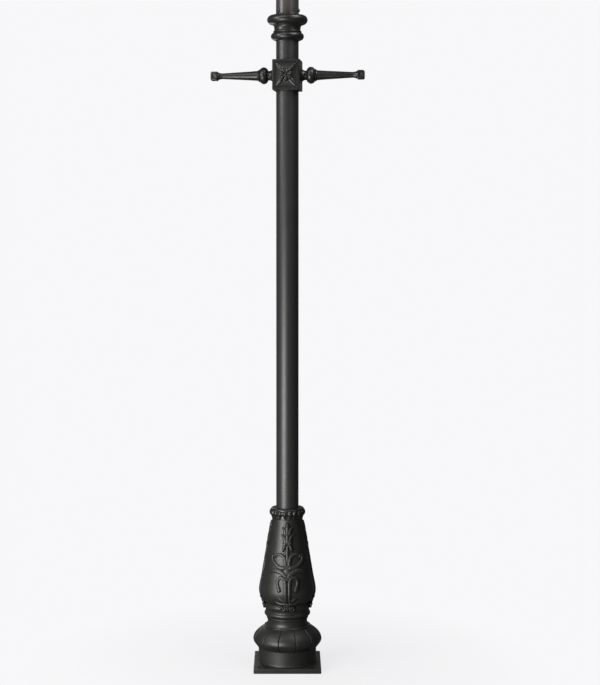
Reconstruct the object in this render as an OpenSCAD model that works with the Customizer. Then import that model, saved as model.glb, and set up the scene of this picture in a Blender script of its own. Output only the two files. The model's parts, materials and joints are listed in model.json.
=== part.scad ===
// Garden lamp post: a square base plate, a cast foot and vase, a round tube that
// carries a ladder rest, and a collar that holds the tube for the lantern.
// Sizes are millimetres. The post stands on z = 0 round the Z axis, front towards -Y.

/* [Base plate] */
// Side of the square base plate
plate_w = 228; // [222:1:260]
// Thickness of the base plate
plate_t = 16; // [12:1:20]
// Radius of the plate's corners
plate_corner_r = 4; // [2:1:8]
// Distance between anchor holes along a side
anchor_pitch = 184; // [176:1:192]
// Diameter of the anchor holes
anchor_d = 14; // [12:1:18]
// Diameter of the cable hole in the plate
cable_hole_d = 56; // [48:1:62]
// Inner diameter of the rubber grommet
grommet_bore_d = 44; // [36:1:46]

/* [Foot casting] */
// Diameter of the plain drum
drum_d = 197; // [190:1:200]
// Height of the plain drum
drum_h = 51; // [44:1:60]
// Largest diameter of the lobed bulge
bulge_d = 234; // [224:1:238]
// Height of the lobed bulge
bulge_h = 71; // [64:1:84]
// Diameter of the bulge's top rim
rim_d = 155; // [148:1:166]
// Diameter of the neck above the bulge
neck_d = 135; // [130:1:142]
// Height of the neck
neck_h = 25; // [23:1:34]
// Number of lobes round the bulge
lobe_count = 12; // [8:1:16]
// Width of the groove between two lobes
groove_w = 3; // [2:0.5:5]
// Depth of the groove between two lobes
groove_depth = 3; // [1:0.5:4]
// Wall of the castings
cast_wall = 7; // [6:0.5:8]

/* [Vase casting] */
// Height of the mouldings under the vase
moulding_h = 59; // [56:1:66]
// Height of the vase body
vase_h = 287; // [260:1:320]
// Largest diameter of the vase body
vase_d = 187; // [176:1:196]
// Diameter of the vase at its top
vase_top_d = 104; // [100:0.5:106]
// Diameter of the bead under the vase
bead_d = 157; // [150:1:164]
// Diameter of the ring under the vase
ring_d = 161; // [156:1:166]
// Height of the spigot under the beaded collar
spigot_h = 31; // [28:1:32]
// Diameter of the spigot under the beaded collar
spigot_d = 92; // [88:1:94]
// Depth of the socket that holds the tube
socket_depth = 135; // [100:1:160]
// Height of the cast relief above the vase
relief_t = 3.2; // [2:0.2:4]
// Half width of the relief's strands
relief_w = 5; // [4:0.5:6]

/* [Beaded collar] */
// Height of the beaded collar
bead_collar_h = 36; // [35:1:42]
// Number of beads
bead_count = 20; // [16:1:24]
// Diameter over the beads
over_beads_d = 125; // [120:1:128]

/* [Post tube] */
// Outer diameter of the post tube
tube_d = 76.2; // [74:0.1:77]
// Wall of the post tube
tube_wall = 3; // [2.5:0.1:4]
// Length of the post tube
tube_len = 1765; // [1500:5:2100]

/* [Ladder rest] */
// Distance from the top of the post tube down to the ladder bar
rest_drop = 158; // [100:1:400]
// Turn of the ladder rest round the post
rest_turn = -6.6; // [-45:0.1:45]
// Side of the square box
box_w = 93; // [92:0.5:100]
// Height of the box
box_h = 102; // [94:1:110]
// Width of the raised border on the box
border_w = 10; // [8:0.5:13]
// Depth of the panel inside the border
panel_depth = 2.5; // [1.5:0.5:3]
// Height of the pyramid above the panel
pyramid_h = 9; // [5:0.5:12]
// Length of the ladder bar from tip to tip
bar_len = 522; // [460:1:600]
// Diameter of the ball at the root of an arm
ball_d = 56.8; // [50:0.2:60]
// Diameter of an arm next to its ball
arm_root_d = 33; // [30:0.5:36]
// Diameter of an arm next to its knob
arm_tip_d = 19.4; // [17:0.2:22]
// Side of the square knob at the end of an arm
knob_w = 31; // [28:0.5:34]
// Length of the knob
knob_len = 24; // [20:0.5:26]
// Diameter of the stud in the root of an arm
stud_d = 12; // [10:1:14]

/* [Top collar and lantern tube] */
// Diameter of the collar's upper torus
torus_top_d = 136.6; // [130:0.2:142]
// Height of the collar's upper torus
torus_top_h = 31; // [29:0.5:32]
// Rise of the upper torus above the ledge, to its middle
torus_top_rise = 27.8; // [27:0.1:28.5]
// Diameter of the collar's lower torus
torus_low_d = 111.6; // [106:0.2:116]
// Height of the collar's lower torus
torus_low_h = 25; // [23:0.5:26]
// Drop of the lower torus below the ledge, to its middle
torus_low_drop = 27.5; // [26.5:0.5:28.5]
// Depth of the collar below the ledge
collar_below = 42; // [41:0.5:45]
// Height of the collar above the ledge
collar_above = 47.5; // [46:0.5:49]
// Diameter of the collar's waist
waist_d = 88.6; // [88:0.2:92]
// Thickness of the ledge between the two tubes
ledge_t = 6; // [4:1:8]
// Outer diameter of the lantern tube
top_tube_d = 76.8; // [76.4:0.1:77.4]
// Diameter of the turned seat for the lantern
seat_d = 75.2; // [74.6:0.1:75.4]
// Length of the turned seat for the lantern
seat_len = 60; // [40:1:80]
// Length of the lantern tube
top_tube_len = 154; // [140:1:240]
// Wall of the inner sleeve
sleeve_wall = 3.5; // [2.5:0.5:5]
// Reach of the inner sleeve below the ledge
sleeve_below = 110; // [80:1:140]
// Reach of the inner sleeve above the ledge
sleeve_above = 110; // [80:1:130]
// Height of the clamp screws above the ledge
clamp_rise = 52; // [50:1:60]
// Diameter of the clamp screws' heads
clamp_head_d = 12.6; // [11:0.2:14]
// Height of the clamp screws' heads
clamp_head_h = 4.6; // [4:0.2:6]

/* [Fits] */
// Radial clearance of a turning fit
turn_clear = 0.1; // [0.05:0.01:0.1]
// Radial clearance of a fixed fit
slip_clear = 0.2; // [0.1:0.05:0.3]
// Radial clearance round a screw
screw_clear = 0.1; // [0.05:0.05:0.2]

/* [Hidden] */
$fn = 96;
e = 0.01;

cast_black = [0.10, 0.10, 0.10];
tube_black = [0.13, 0.13, 0.13];
tube_bronze = [0.20, 0.19, 0.17];
zinc = [0.62, 0.63, 0.65];
brass = [0.72, 0.58, 0.28];
rubber = [0.05, 0.05, 0.05];

// Heights of the joints from one piece to the next
foot_z = plate_t;
drum_z = foot_z + drum_h;
rim_z = drum_z + bulge_h;
vase_z = rim_z + neck_h;
body_z = vase_z + moulding_h;
shoulder_z = body_z + vase_h;
spigot_z = shoulder_z + spigot_h;
socket_z = spigot_z - socket_depth;
ledge_z = socket_z + tube_len;
lantern_z = ledge_z + ledge_t;
rest_z = ledge_z - rest_drop;
bulge_z = drum_z + 0.35 * bulge_h;

function turn_gap() = 2 * turn_clear;

// Radii that several pieces share
tube_r = tube_d / 2;
tube_in_r = tube_r - tube_wall;
sleeve_r = tube_in_r - slip_clear;
sleeve_in_r = sleeve_r - sleeve_wall;
top_in_r = sleeve_r + turn_clear;
flange_hole_r = tube_in_r - 1;
flange_t = 11;
vase_flange_t = 15;

// Screws: plate screws, foot bolts and grub screws are M8, small screws are M6
m8_r = 4;
m6_r = 3;
plate_screw_len = 36;
plate_screw_head_r = 8;
plate_screw_sink = 0.3;
boss_r = 12;
boss_h = 30;
boss_lift = 0.2;
boss_pitch_r = drum_d / 2 - cast_wall - 9;
foot_bolt_pitch_r = (neck_d / 2 - cast_wall + flange_hole_r) / 2;
foot_bolt_head_h = 5.3;
foot_bolt_head_r = 7.5;
foot_bolt_grip = 12;
washer_r = 8.2;
washer_t = 1.6;
earth_z = foot_z + 22;
earth_boss_r = 8;
earth_boss_len = 12;
earth_head_h = 4;
earth_head_r = 5.8;
post_screw_z = shoulder_z + 14;
sleeve_screw_z = ledge_z - 27;
clamp_z = lantern_z + clamp_rise;
clamp_angles = [70, 190, 310];
clamp_socket_r = 3;
clamp_socket_depth = 2.5;

// Grommet
grommet_lip = 5;
grommet_lip_t = 2;

// Ladder rest
arm_x = box_w / 2 + 13;
boss_face_r = 26;
stud_in = 18;
stud_out = 24;
tip_x = bar_len / 2;
knob_x = tip_x - knob_len;
rest_screw_rise = box_h / 2 - border_w / 2;

// Points of an arc in an outline, from angle a0 to a1
function arc(r, z, size, a0, a1, steps = 10) = [
    for (i = [0:steps])
        let (a = a0 + (a1 - a0) * i / steps)
            [r + size * cos(a), z + size * sin(a)]
];

// Points of a quadratic curve that leaves p towards q and arrives at s
function curve(p, q, s, steps = 8) = [
    for (i = [0:steps])
        let (t = i / steps)
            (1 - t) * (1 - t) * p + 2 * t * (1 - t) * q + t * t * s
];

module turned(outline) {
    rotate_extrude() polygon(outline);
}

module around(count, start = 0) {
    for (i = [0:count - 1]) rotate([0, 0, start + i * 360 / count]) children();
}

// A rod along +X from x0 to x1 at height z
module radial_rod(x0, x1, z, r) {
    translate([x0, 0, z]) rotate([0, 90, 0]) cylinder(h = x1 - x0, r = r);
}

module tube(r_out, r_in, z0, length) {
    translate([0, 0, z0]) difference() {
        cylinder(h = length, r = r_out);
        translate([0, 0, -e]) cylinder(h = length + 2 * e, r = r_in);
    }
}

module plate_outline() {
    inner = plate_w / 2 - plate_corner_r;
    square([plate_w, 2 * inner], center = true);
    square([2 * inner, plate_w], center = true);
    for (x = [-inner, inner], y = [-inner, inner]) translate([x, y]) circle(plate_corner_r);
}

module base_plate() {
    head_r = plate_screw_head_r + plate_screw_sink + screw_clear;
    color(tube_black) difference() {
        linear_extrude(plate_t) plate_outline();
        for (x = [-1, 1], y = [-1, 1])
            translate([x * anchor_pitch / 2, y * anchor_pitch / 2, -1])
                cylinder(h = plate_t + 2, d = anchor_d);
        translate([0, 0, -1]) cylinder(h = plate_t + 2, d = cable_hole_d);
        around(4, 45) translate([boss_pitch_r, 0, 0]) {
            translate([0, 0, -1]) cylinder(h = plate_t + 2, r = m8_r + screw_clear);
            translate([0, 0, -e]) cylinder(h = head_r - m8_r, r1 = head_r, r2 = m8_r);
        }
    }
}

module cable_grommet() {
    bore_r = grommet_bore_d / 2;
    body_r = cable_hole_d / 2 - screw_clear;
    lip_r = cable_hole_d / 2 + grommet_lip;
    color(rubber) turned([
        [bore_r, 1], [body_r, 1], [body_r, plate_t], [lip_r, plate_t],
        [lip_r, plate_t + grommet_lip_t], [bore_r + 1, plate_t + grommet_lip_t],
        [bore_r, plate_t + grommet_lip_t - 1]
    ]);
}

module plate_screws() {
    sink = plate_screw_sink;
    color(zinc) around(4, 45) translate([boss_pitch_r, 0, 0]) turned([
        [0, sink], [plate_screw_head_r, sink], [m8_r, sink + plate_screw_head_r - m8_r],
        [m8_r, plate_screw_len], [0, plate_screw_len]
    ]);
}

// Outline of the foot's outside, from the plate up to the vase
function foot_outside() =
    let (drum_r = drum_d / 2, bulge_r = bulge_d / 2, rim_r = rim_d / 2, neck_r = neck_d / 2)
    concat(
        [[drum_r + 1.5, foot_z], [drum_r + 1.5, foot_z + 3], [drum_r, foot_z + 5],
         [drum_r, drum_z], [drum_r + 4, drum_z + 1.5]],
        curve([drum_r + 4.5, drum_z + 2.5], [bulge_r - 1.4, bulge_z - 8], [bulge_r, bulge_z]),
        curve([bulge_r, bulge_z + 0.5], [bulge_r, rim_z - 22], [rim_r, rim_z]),
        curve([rim_r - 2, rim_z + 1], [neck_r + 1.5, rim_z + 4], [neck_r, rim_z + 14]),
        [[neck_r, vase_z - 7], [neck_r + 1, vase_z]]
    );

module foot_shell() {
    drum_r = drum_d / 2 - cast_wall;
    bulge_r = bulge_d / 2 - cast_wall;
    neck_r = neck_d / 2 - cast_wall;
    inside = concat(
        [[flange_hole_r, vase_z], [flange_hole_r, vase_z - flange_t],
         [neck_r, vase_z - flange_t], [neck_r, rim_z + 2]],
        curve([rim_d / 2 - 5, rim_z - 7], [bulge_r, rim_z - 24], [bulge_r, bulge_z + 2]),
        [[drum_r, drum_z + 2], [drum_r, foot_z]]
    );
    turned(concat(foot_outside(), inside));
}

// A thin blade that cuts one groove between two lobes
module lobe_groove() {
    rim_r = rim_d / 2;
    bulge_r = bulge_d / 2;
    d = groove_depth;
    out = 8;
    low = drum_z + 4;
    rotate([90, 0, 0]) linear_extrude(groove_w, center = true) polygon(concat(
        curve([drum_d / 2 + 4.5 - d, low], [bulge_r - 1.4 - d, bulge_z - 7], [bulge_r - d, bulge_z]),
        curve([bulge_r - d, bulge_z + 0.5], [bulge_r - d, rim_z - 22 - d], [rim_r, rim_z - d]),
        [[rim_r - 1, rim_z - d], [rim_r - 1, rim_z + out], [bulge_r + out, rim_z + out],
         [bulge_r + out, low]]
    ));
}

module foot_casting() {
    wall_r = drum_d / 2 - cast_wall / 2;
    color(cast_black) difference() {
        union() {
            foot_shell();
            around(4, 45) translate([boss_pitch_r, 0, foot_z + boss_lift])
                cylinder(h = boss_h, r = boss_r);
            rotate([0, 0, 90])
                radial_rod(wall_r - cast_wall / 2 - earth_boss_len, wall_r, earth_z, earth_boss_r);
        }
        around(lobe_count, 180 / lobe_count) lobe_groove();
        around(4, 45) translate([boss_pitch_r, 0, foot_z - 1])
            cylinder(h = boss_h - 4, r = m8_r + screw_clear);
        around(4) translate([foot_bolt_pitch_r, 0, vase_z - flange_t - 1])
            cylinder(h = flange_t + 2, r = m8_r + screw_clear);
        rotate([0, 0, 90])
            radial_rod(wall_r - cast_wall / 2 - earth_boss_len - 1, wall_r - 2, earth_z,
                m6_r + screw_clear);
    }
}

module earth_screw() {
    face = drum_d / 2 - cast_wall - earth_boss_len;
    color(brass) rotate([0, 0, 90]) {
        radial_rod(face - e, face + earth_boss_len, earth_z, m6_r);
        translate([face - earth_head_h, 0, earth_z]) rotate([0, 90, 0])
            cylinder(h = earth_head_h, r = earth_head_r, $fn = 6);
    }
}

module foot_bolts() {
    top = vase_z + foot_bolt_grip;
    under = vase_z - flange_t - washer_t;
    color(zinc) around(4) translate([foot_bolt_pitch_r, 0, under]) {
        cylinder(h = top - under, r = m8_r);
        translate([0, 0, -foot_bolt_head_h]) cylinder(h = foot_bolt_head_h, r = foot_bolt_head_r, $fn = 6);
    }
}

module foot_washers() {
    color(zinc) around(4) translate([foot_bolt_pitch_r, 0, 0])
        tube(washer_r, m8_r + screw_clear, vase_z - flange_t - washer_t, washer_t);
}

// Outline of the vase's outside, from the foot up to the spigot
function vase_outside() =
    let (neck_r = neck_d / 2, bead_r = bead_d / 2, ring_r = ring_d / 2, body_r = vase_d / 2,
         top_r = vase_top_d / 2, widest_z = body_z + 40)
    concat(
        [[neck_r + 1, vase_z]],
        arc(neck_r - 0.5, vase_z + 5, 4, -70, 70, 6),
        [[neck_r + 3, vase_z + 10]],
        arc(bead_r - 8.5, vase_z + 19.5, 8.5, -75, 60),
        [[bead_r - 4, vase_z + 31], [bead_r - 4, vase_z + 34]],
        arc(ring_r - 11.5, vase_z + 46.5, 11.5, -58, 55),
        [[ring_r - 4, body_z - 1]],
        curve([ring_r - 3.5, body_z], [body_r, body_z + 16], [body_r, widest_z]),
        curve([body_r, widest_z + 0.5], [body_r, widest_z + 9], [body_r - 5, widest_z + 35]),
        [[top_r + 0.8, shoulder_z - 12], [top_r, shoulder_z], [spigot_d / 2, shoulder_z],
         [spigot_d / 2, spigot_z]]
    );

// Places on the relief: degrees from the motif's middle, and height on a body 287 high
function up(h) = h * vase_h / 287;

// Radius of the surface under the relief at a height above the body's foot
function relief_r(h) = lookup(h, [
    [-30, ring_d / 2 - 1], [0, ring_d / 2 + 1], [16, vase_d / 2 - 4], [40, vase_d / 2],
    [75, vase_d / 2 - 5], [vase_h - 12, vase_top_d / 2 + 0.8]
]);

// A place on the relief, unrolled flat
function flat(p) = let (h = up(p[1])) [p[0] * PI / 180 * relief_r(h), h];

// A point of the unrolled relief, seen from the front
function cast(q) = let (r = relief_r(q[1])) [r * sin(q[0] / r * 180 / PI), body_z + q[1]];

function heading(path, i) =
    let (d = path[min(i + 1, len(path) - 1)] - path[max(i - 1, 0)]) [-d[1], d[0]] / norm(d);

// Outline of a strand along a path, w0 and w1 are its half widths at the root and the tip
function strand(places, w0, w1) =
    let (path = [for (p = places) flat(p)], n = len(path) - 1,
         w = [for (i = [0:n]) w0 + (w1 - w0) * i / n])
    [for (q = concat(
        [for (i = [0:n]) path[i] + w[i] * heading(path, i)],
        [for (i = [n:-1:0]) path[i] - w[i] * heading(path, i)]
    )) cast(q)];

// Outline of a round knob
function knob(place, size) =
    let (c = flat(place)) [for (a = [0:45:315]) cast(c + size * [cos(a), sin(a)])];

// Half of the motif: a flower on a stem, a volute with a ball, a branch, a tendril and a scroll
module half_motif() {
    w = relief_w;
    flower = [[-1, 203], [11.6, 212.5], [10, 222], [17.5, 237], [11, 248], [16, 258.5], [7.6, 264],
              [-1, 277]];
    polygon([for (p = flower) cast(flat(p))]);
    polygon(strand([[4, 204], [9, 194], [11.5, 182]], 3, 1.5));
    polygon(strand([[0, 205], [0, 134], [0, 84]], w - 1, w + 2));
    polygon(strand([[0, 132], [12, 129], [23.5, 133], [34.5, 144], [42, 155], [42.5, 167], [38, 172]],
        w, w - 2));
    polygon(strand([[4, 130], [5.2, 150], [8.5, 163], [16.4, 171.5], [27, 172], [36, 169]],
        w - 1, w - 1));
    polygon(knob([35.3, 168], w + 1));
    polygon(strand([[0, 94], [10.7, 110], [20.4, 117], [32.2, 118.5], [40.5, 115], [44.5, 109]],
        w + 1, w - 3));
    polygon(strand([[3.8, 12], [3.8, 79], [6.4, 90], [12, 96], [18.3, 95.5], [22.2, 86], [21.9, 73],
        [18.6, 58]], w - 1, w - 1));
    polygon(knob([18.4, 54], w + 1));
    polygon(strand([[0, 14], [7, 14], [15, 20], [22, 30]], w, 1.5));
    polygon(knob([12, -9], w + 3));
    polygon(strand([[5, 14], [4, 2], [5, -8]], w, w - 1));
}

module vase_relief() {
    body_r = vase_d / 2;
    t = relief_t;
    outside = concat(
        [for (h = [-22, 0]) [relief_r(h) + t - 1, body_z + h]],
        curve([relief_r(4) + t - 1, body_z + 4], [body_r + t, body_z + 18], [body_r + t, body_z + 40], 4),
        [[body_r + t, body_z + 49], [body_r - 5 + t, body_z + 75],
         [relief_r(vase_h - 8) + t, shoulder_z - 8]]
    );
    intersection() {
        turned(concat(outside, [
            [vase_top_d / 2 - 4, shoulder_z - 8], [body_r - 9, body_z + 75], [body_r - 4, body_z + 40],
            [ring_d / 2 - 5, body_z], [ring_d / 2 - 5, body_z - 22]
        ]));
        around(4) rotate([90, 0, 0]) linear_extrude(vase_d) {
            half_motif();
            mirror([1, 0]) half_motif();
        }
    }
}

module vase_casting() {
    bore_r = tube_r + slip_clear;
    body_r = vase_d / 2 - cast_wall;
    floor_z = vase_z + vase_flange_t;
    low_r = neck_d / 2 - cast_wall + 1;
    roof_z = socket_z - cast_wall;
    // Radius of the body's straight side at the cavity's roof
    side_from = [vase_d / 2 - 5, body_z + 75];
    side_to = [vase_top_d / 2 + 0.8, shoulder_z - 12];
    share = (roof_z - 14 - side_from[1]) / (side_to[1] - side_from[1]);
    roof_r = side_from[0] + share * (side_to[0] - side_from[0]) - cast_wall;
    inside = concat(
        [[bore_r, spigot_z], [bore_r, socket_z], [flange_hole_r, socket_z],
         [flange_hole_r, roof_z], [roof_r, roof_z - 14]],
        curve([body_r - 5, body_z + 75], [body_r, body_z + 50], [body_r, body_z + 38]),
        [[low_r + 10, body_z], [low_r, floor_z], [flange_hole_r, floor_z],
         [flange_hole_r, vase_z]]
    );
    color(cast_black) difference() {
        union() {
            turned(concat(vase_outside(), inside));
            vase_relief();
        }
        around(4) translate([foot_bolt_pitch_r, 0, vase_z - 1])
            cylinder(h = foot_bolt_grip + 3, r = m8_r + screw_clear);
        around(3, -90) radial_rod(tube_r - 2, spigot_d / 2 + 2, post_screw_z, m8_r + screw_clear);
    }
}

module post_screws() {
    color(zinc) around(3, -90)
        radial_rod(tube_r + screw_clear, spigot_d / 2 - screw_clear, post_screw_z, m8_r);
}

module bead_collar() {
    bead_r = 10;
    over_r = over_beads_d / 2;
    mid_z = shoulder_z + 20;
    top_z = shoulder_z + bead_collar_h;
    core_r = over_r - 16;
    foot_r = vase_top_d / 2;
    spigot_bore_r = spigot_d / 2 + slip_clear;
    roof_z = spigot_z + slip_clear;
    color(cast_black) difference() {
        union() {
            turned(concat(
                [[tube_r + slip_clear, shoulder_z], [foot_r, shoulder_z], [foot_r + 0.7, shoulder_z + 3]],
                arc(core_r, mid_z, 13.5, -58, 80),
                [[core_r + 2, top_z], [tube_r + slip_clear, top_z]]
            ));
            around(bead_count, 180 / bead_count)
                translate([over_r - bead_r, 0, mid_z]) sphere(bead_r);
        }
        translate([0, 0, shoulder_z - 1]) cylinder(h = roof_z - shoulder_z + 1, r = spigot_bore_r);
    }
}

module post_tube() {
    color(tube_black) difference() {
        tube(tube_r, tube_in_r, socket_z, tube_len);
        around(3, 30) radial_rod(tube_in_r - 3, tube_r + 3, sleeve_screw_z, m8_r + screw_clear);
    }
}

// A low pyramid over a rectangle of a by b, apex along +Z
module pyramid(a, b, h) {
    intersection() {
        rotate([90, 0, 0]) linear_extrude(b + 2, center = true)
            polygon([[-a / 2, 0], [a / 2, 0], [0, h]]);
        rotate([90, 0, 90]) linear_extrude(a + 2, center = true)
            polygon([[-b / 2, 0], [b / 2, 0], [0, h]]);
    }
}

module ladder_box() {
    panel_w = box_w - 2 * border_w;
    panel_h = box_h - 2 * border_w;
    color(cast_black) rotate([0, 0, rest_turn]) difference() {
        union() {
            difference() {
                translate([0, 0, rest_z]) cube([box_w, box_w, box_h], center = true);
                for (side = [-1, 1])
                    translate([0, side * (box_w / 2 - panel_depth / 2 + 1), rest_z])
                        cube([panel_w, panel_depth + 2, panel_h], center = true);
            }
            for (turn = [0, 180]) rotate([0, 0, turn])
                translate([0, -box_w / 2 + panel_depth + e, rest_z]) rotate([90, 0, 0])
                    pyramid(panel_w - 1, panel_h - 1, pyramid_h);
            for (turn = [0, 180]) rotate([0, 0, turn]) translate([0, 0, rest_z]) rotate([0, 90, 0])
                turned(concat(
                    [[0, box_w / 2 - 2], [boss_face_r, box_w / 2 - 2]],
                    curve([boss_face_r, box_w / 2 + 1], [arm_root_d / 2 + 2, box_w / 2 + 4],
                        [arm_root_d / 2 - 0.5, arm_x]),
                    [[0, arm_x]]
                ));
        }
        translate([0, 0, rest_z - box_h]) cylinder(h = 2 * box_h, r = tube_r + turn_clear);
        for (turn = [0, 180]) rotate([0, 0, turn])
            radial_rod(tube_r - 2, arm_x + 1, rest_z, stud_d / 2 + screw_clear);
        rotate([0, 0, 90])
            radial_rod(tube_r - 2, box_w / 2 + 1, rest_z + rest_screw_rise, m6_r + screw_clear);
    }
}

module ladder_box_screw() {
    color(zinc) rotate([0, 0, rest_turn + 90])
        radial_rod(tube_r + turn_clear, box_w / 2 - 0.5, rest_z + rest_screw_rise, m6_r);
}

module arm_studs() {
    color(zinc) for (turn = [0, 180]) rotate([0, 0, rest_turn + turn])
        radial_rod(arm_x - stud_in, arm_x + stud_out - 1, rest_z, stud_d / 2);
}

module ladder_arm() {
    root_r = arm_root_d / 2;
    tip_r = arm_tip_d / 2;
    ball_r = ball_d / 2;
    ball_x = arm_x + 20.5;
    half_knob = knob_w / 2;
    corner_r = 1.25 * half_knob;
    ball = [for (i = [0:12]) let (a = -80 + i * 12.5)
        [ball_r - 14.4 + 14.4 * cos(a), ball_x + 14.7 * sin(a)]];
    translate([0, 0, rest_z]) difference() {
        rotate([0, 90, 0]) rotate_extrude() polygon(concat(
            [[0, arm_x], [root_r - 0.5, arm_x], [root_r - 0.5, arm_x + 3]],
            ball,
            [[root_r + 3.5, ball_x + 15], [root_r + 3.5, ball_x + 17]],
            curve([root_r + 3, ball_x + 17.5], [root_r + 0.5, ball_x + 20], [root_r, ball_x + 24]),
            curve([tip_r, knob_x - 16], [tip_r + 0.8, knob_x - 5], [half_knob - 1, knob_x + 1]),
            [[0, knob_x + 1]]
        ));
        radial_rod(arm_x - 1, arm_x + stud_out, 0, stud_d / 2 + screw_clear);
    }
    translate([0, 0, rest_z]) intersection() {
        translate([knob_x + knob_len / 2, 0, 0]) cube([knob_len + 2, knob_w, knob_w], center = true);
        rotate([0, 90, 0]) rotate_extrude() polygon(concat(
            [[0, knob_x], [half_knob - 1.5, knob_x]],
            curve([half_knob - 1, knob_x + 0.5], [corner_r - 1, knob_x + 2], [corner_r, knob_x + 8], 6),
            curve([corner_r, tip_x - 10], [corner_r, tip_x - 1], [half_knob - 5, tip_x], 6),
            [[0, tip_x]]
        ));
    }
}

module ladder_arm_right() {
    color(cast_black) rotate([0, 0, rest_turn]) ladder_arm();
}

module ladder_arm_left() {
    color(cast_black) rotate([0, 0, rest_turn + 180]) ladder_arm();
}

module top_collar() {
    low_size = torus_low_h / 2;
    top_size = torus_top_h / 2;
    low_r = torus_low_d / 2 - low_size;
    top_r = torus_top_d / 2 - top_size;
    low_z = ledge_z - torus_low_drop;
    top_z = ledge_z + torus_top_rise;
    waist_r = waist_d / 2;
    bead_z = low_z + low_size + 2;
    bore_r = tube_r + slip_clear;
    swivel_r = top_tube_d / 2 + turn_clear;
    end_z = ledge_z + collar_above;
    color(cast_black) difference() {
        turned(concat(
            [[bore_r, ledge_z - collar_below], [bore_r + 3, ledge_z - collar_below]],
            arc(low_r, low_z, low_size, -85, 52),
            [[waist_r + 3, bead_z - 2.5], [waist_r + 4, bead_z - 1], [waist_r + 4, bead_z + 1],
             [waist_r + 1, bead_z + 4], [waist_r, bead_z + 6], [waist_r, ledge_z]],
            curve([waist_r + 0.2, ledge_z + 1], [waist_r + 1, ledge_z + 8],
                [waist_r + 8, top_z - top_size - 1.3]),
            arc(top_r, top_z, top_size, -80, 85),
            [[swivel_r + 3, top_z + top_size + 0.3], [swivel_r + 2.5, end_z],
             [swivel_r, end_z], [swivel_r, lantern_z],
             [sleeve_r + slip_clear, lantern_z], [sleeve_r + slip_clear, ledge_z],
             [bore_r, ledge_z]]
        ));
        rotate([0, 0, 90]) radial_rod(tube_r - 2, torus_low_d / 2 + 2, low_z, m6_r + screw_clear);
    }
}

module collar_screw() {
    color(zinc) rotate([0, 0, 90])
        radial_rod(tube_r + screw_clear, torus_low_d / 2 - 2, ledge_z - torus_low_drop, m6_r);
}

module inner_sleeve() {
    color(zinc) difference() {
        tube(sleeve_r, sleeve_in_r, ledge_z - sleeve_below, sleeve_below + ledge_t + sleeve_above);
        around(3, 30) radial_rod(sleeve_in_r - 3, sleeve_r + 3, sleeve_screw_z, m8_r + screw_clear);
    }
}

module sleeve_screws() {
    color(zinc) around(3, 30)
        radial_rod(sleeve_in_r, tube_r - screw_clear, sleeve_screw_z, m8_r);
}

module top_tube() {
    base = lantern_z + turn_gap();
    color(tube_bronze) difference() {
        union() {
            tube(top_tube_d / 2, top_in_r, base, top_tube_len - seat_len);
            tube(seat_d / 2, top_in_r, base + e, top_tube_len - e);
        }
        for (a = clamp_angles) rotate([0, 0, a - 90])
            radial_rod(top_in_r - 2, top_tube_d / 2 + 2, clamp_z, m8_r + screw_clear);
    }
}

// A clamp screw at an angle from the front, head just off the tube
module clamp_screw(angle) {
    head_x = top_tube_d / 2;
    color(zinc) rotate([0, 0, angle - 90]) difference() {
        union() {
            radial_rod(top_in_r, head_x + 1, clamp_z, m8_r);
            radial_rod(head_x + screw_clear, head_x + clamp_head_h, clamp_z, clamp_head_d / 2);
        }
        translate([head_x + clamp_head_h - clamp_socket_depth, 0, clamp_z]) rotate([0, 90, 0])
            cylinder(h = clamp_socket_depth + 1, r = clamp_socket_r, $fn = 6);
    }
}

module clamp_screw_right() {
    clamp_screw(clamp_angles[0]);
}

module clamp_screw_back() {
    clamp_screw(clamp_angles[1]);
}

module clamp_screw_left() {
    clamp_screw(clamp_angles[2]);
}

base_plate();
cable_grommet();
plate_screws();
foot_casting();
earth_screw();
foot_bolts();
foot_washers();
vase_casting();
bead_collar();
post_screws();
post_tube();
ladder_box();
ladder_box_screw();
arm_studs();
ladder_arm_right();
ladder_arm_left();
top_collar();
collar_screw();
inner_sleeve();
sleeve_screws();
top_tube();
clamp_screw_right();
clamp_screw_back();
clamp_screw_left();
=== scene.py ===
"""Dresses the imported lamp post: meshes, finishes, studio and camera.

Pieces are drawn in millimetres, with the front towards -Y, and become metres when their mesh is
made. Angles are degrees from the front, and plus is towards the right.
"""

from __future__ import annotations

import json
import logging
import math
from collections.abc import Callable, Sequence
from dataclasses import dataclass, replace
from enum import Enum

import bmesh
import bpy
import numpy as np
from mathutils import Matrix, Vector
from mathutils.geometry import tessellate_polygon

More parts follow.
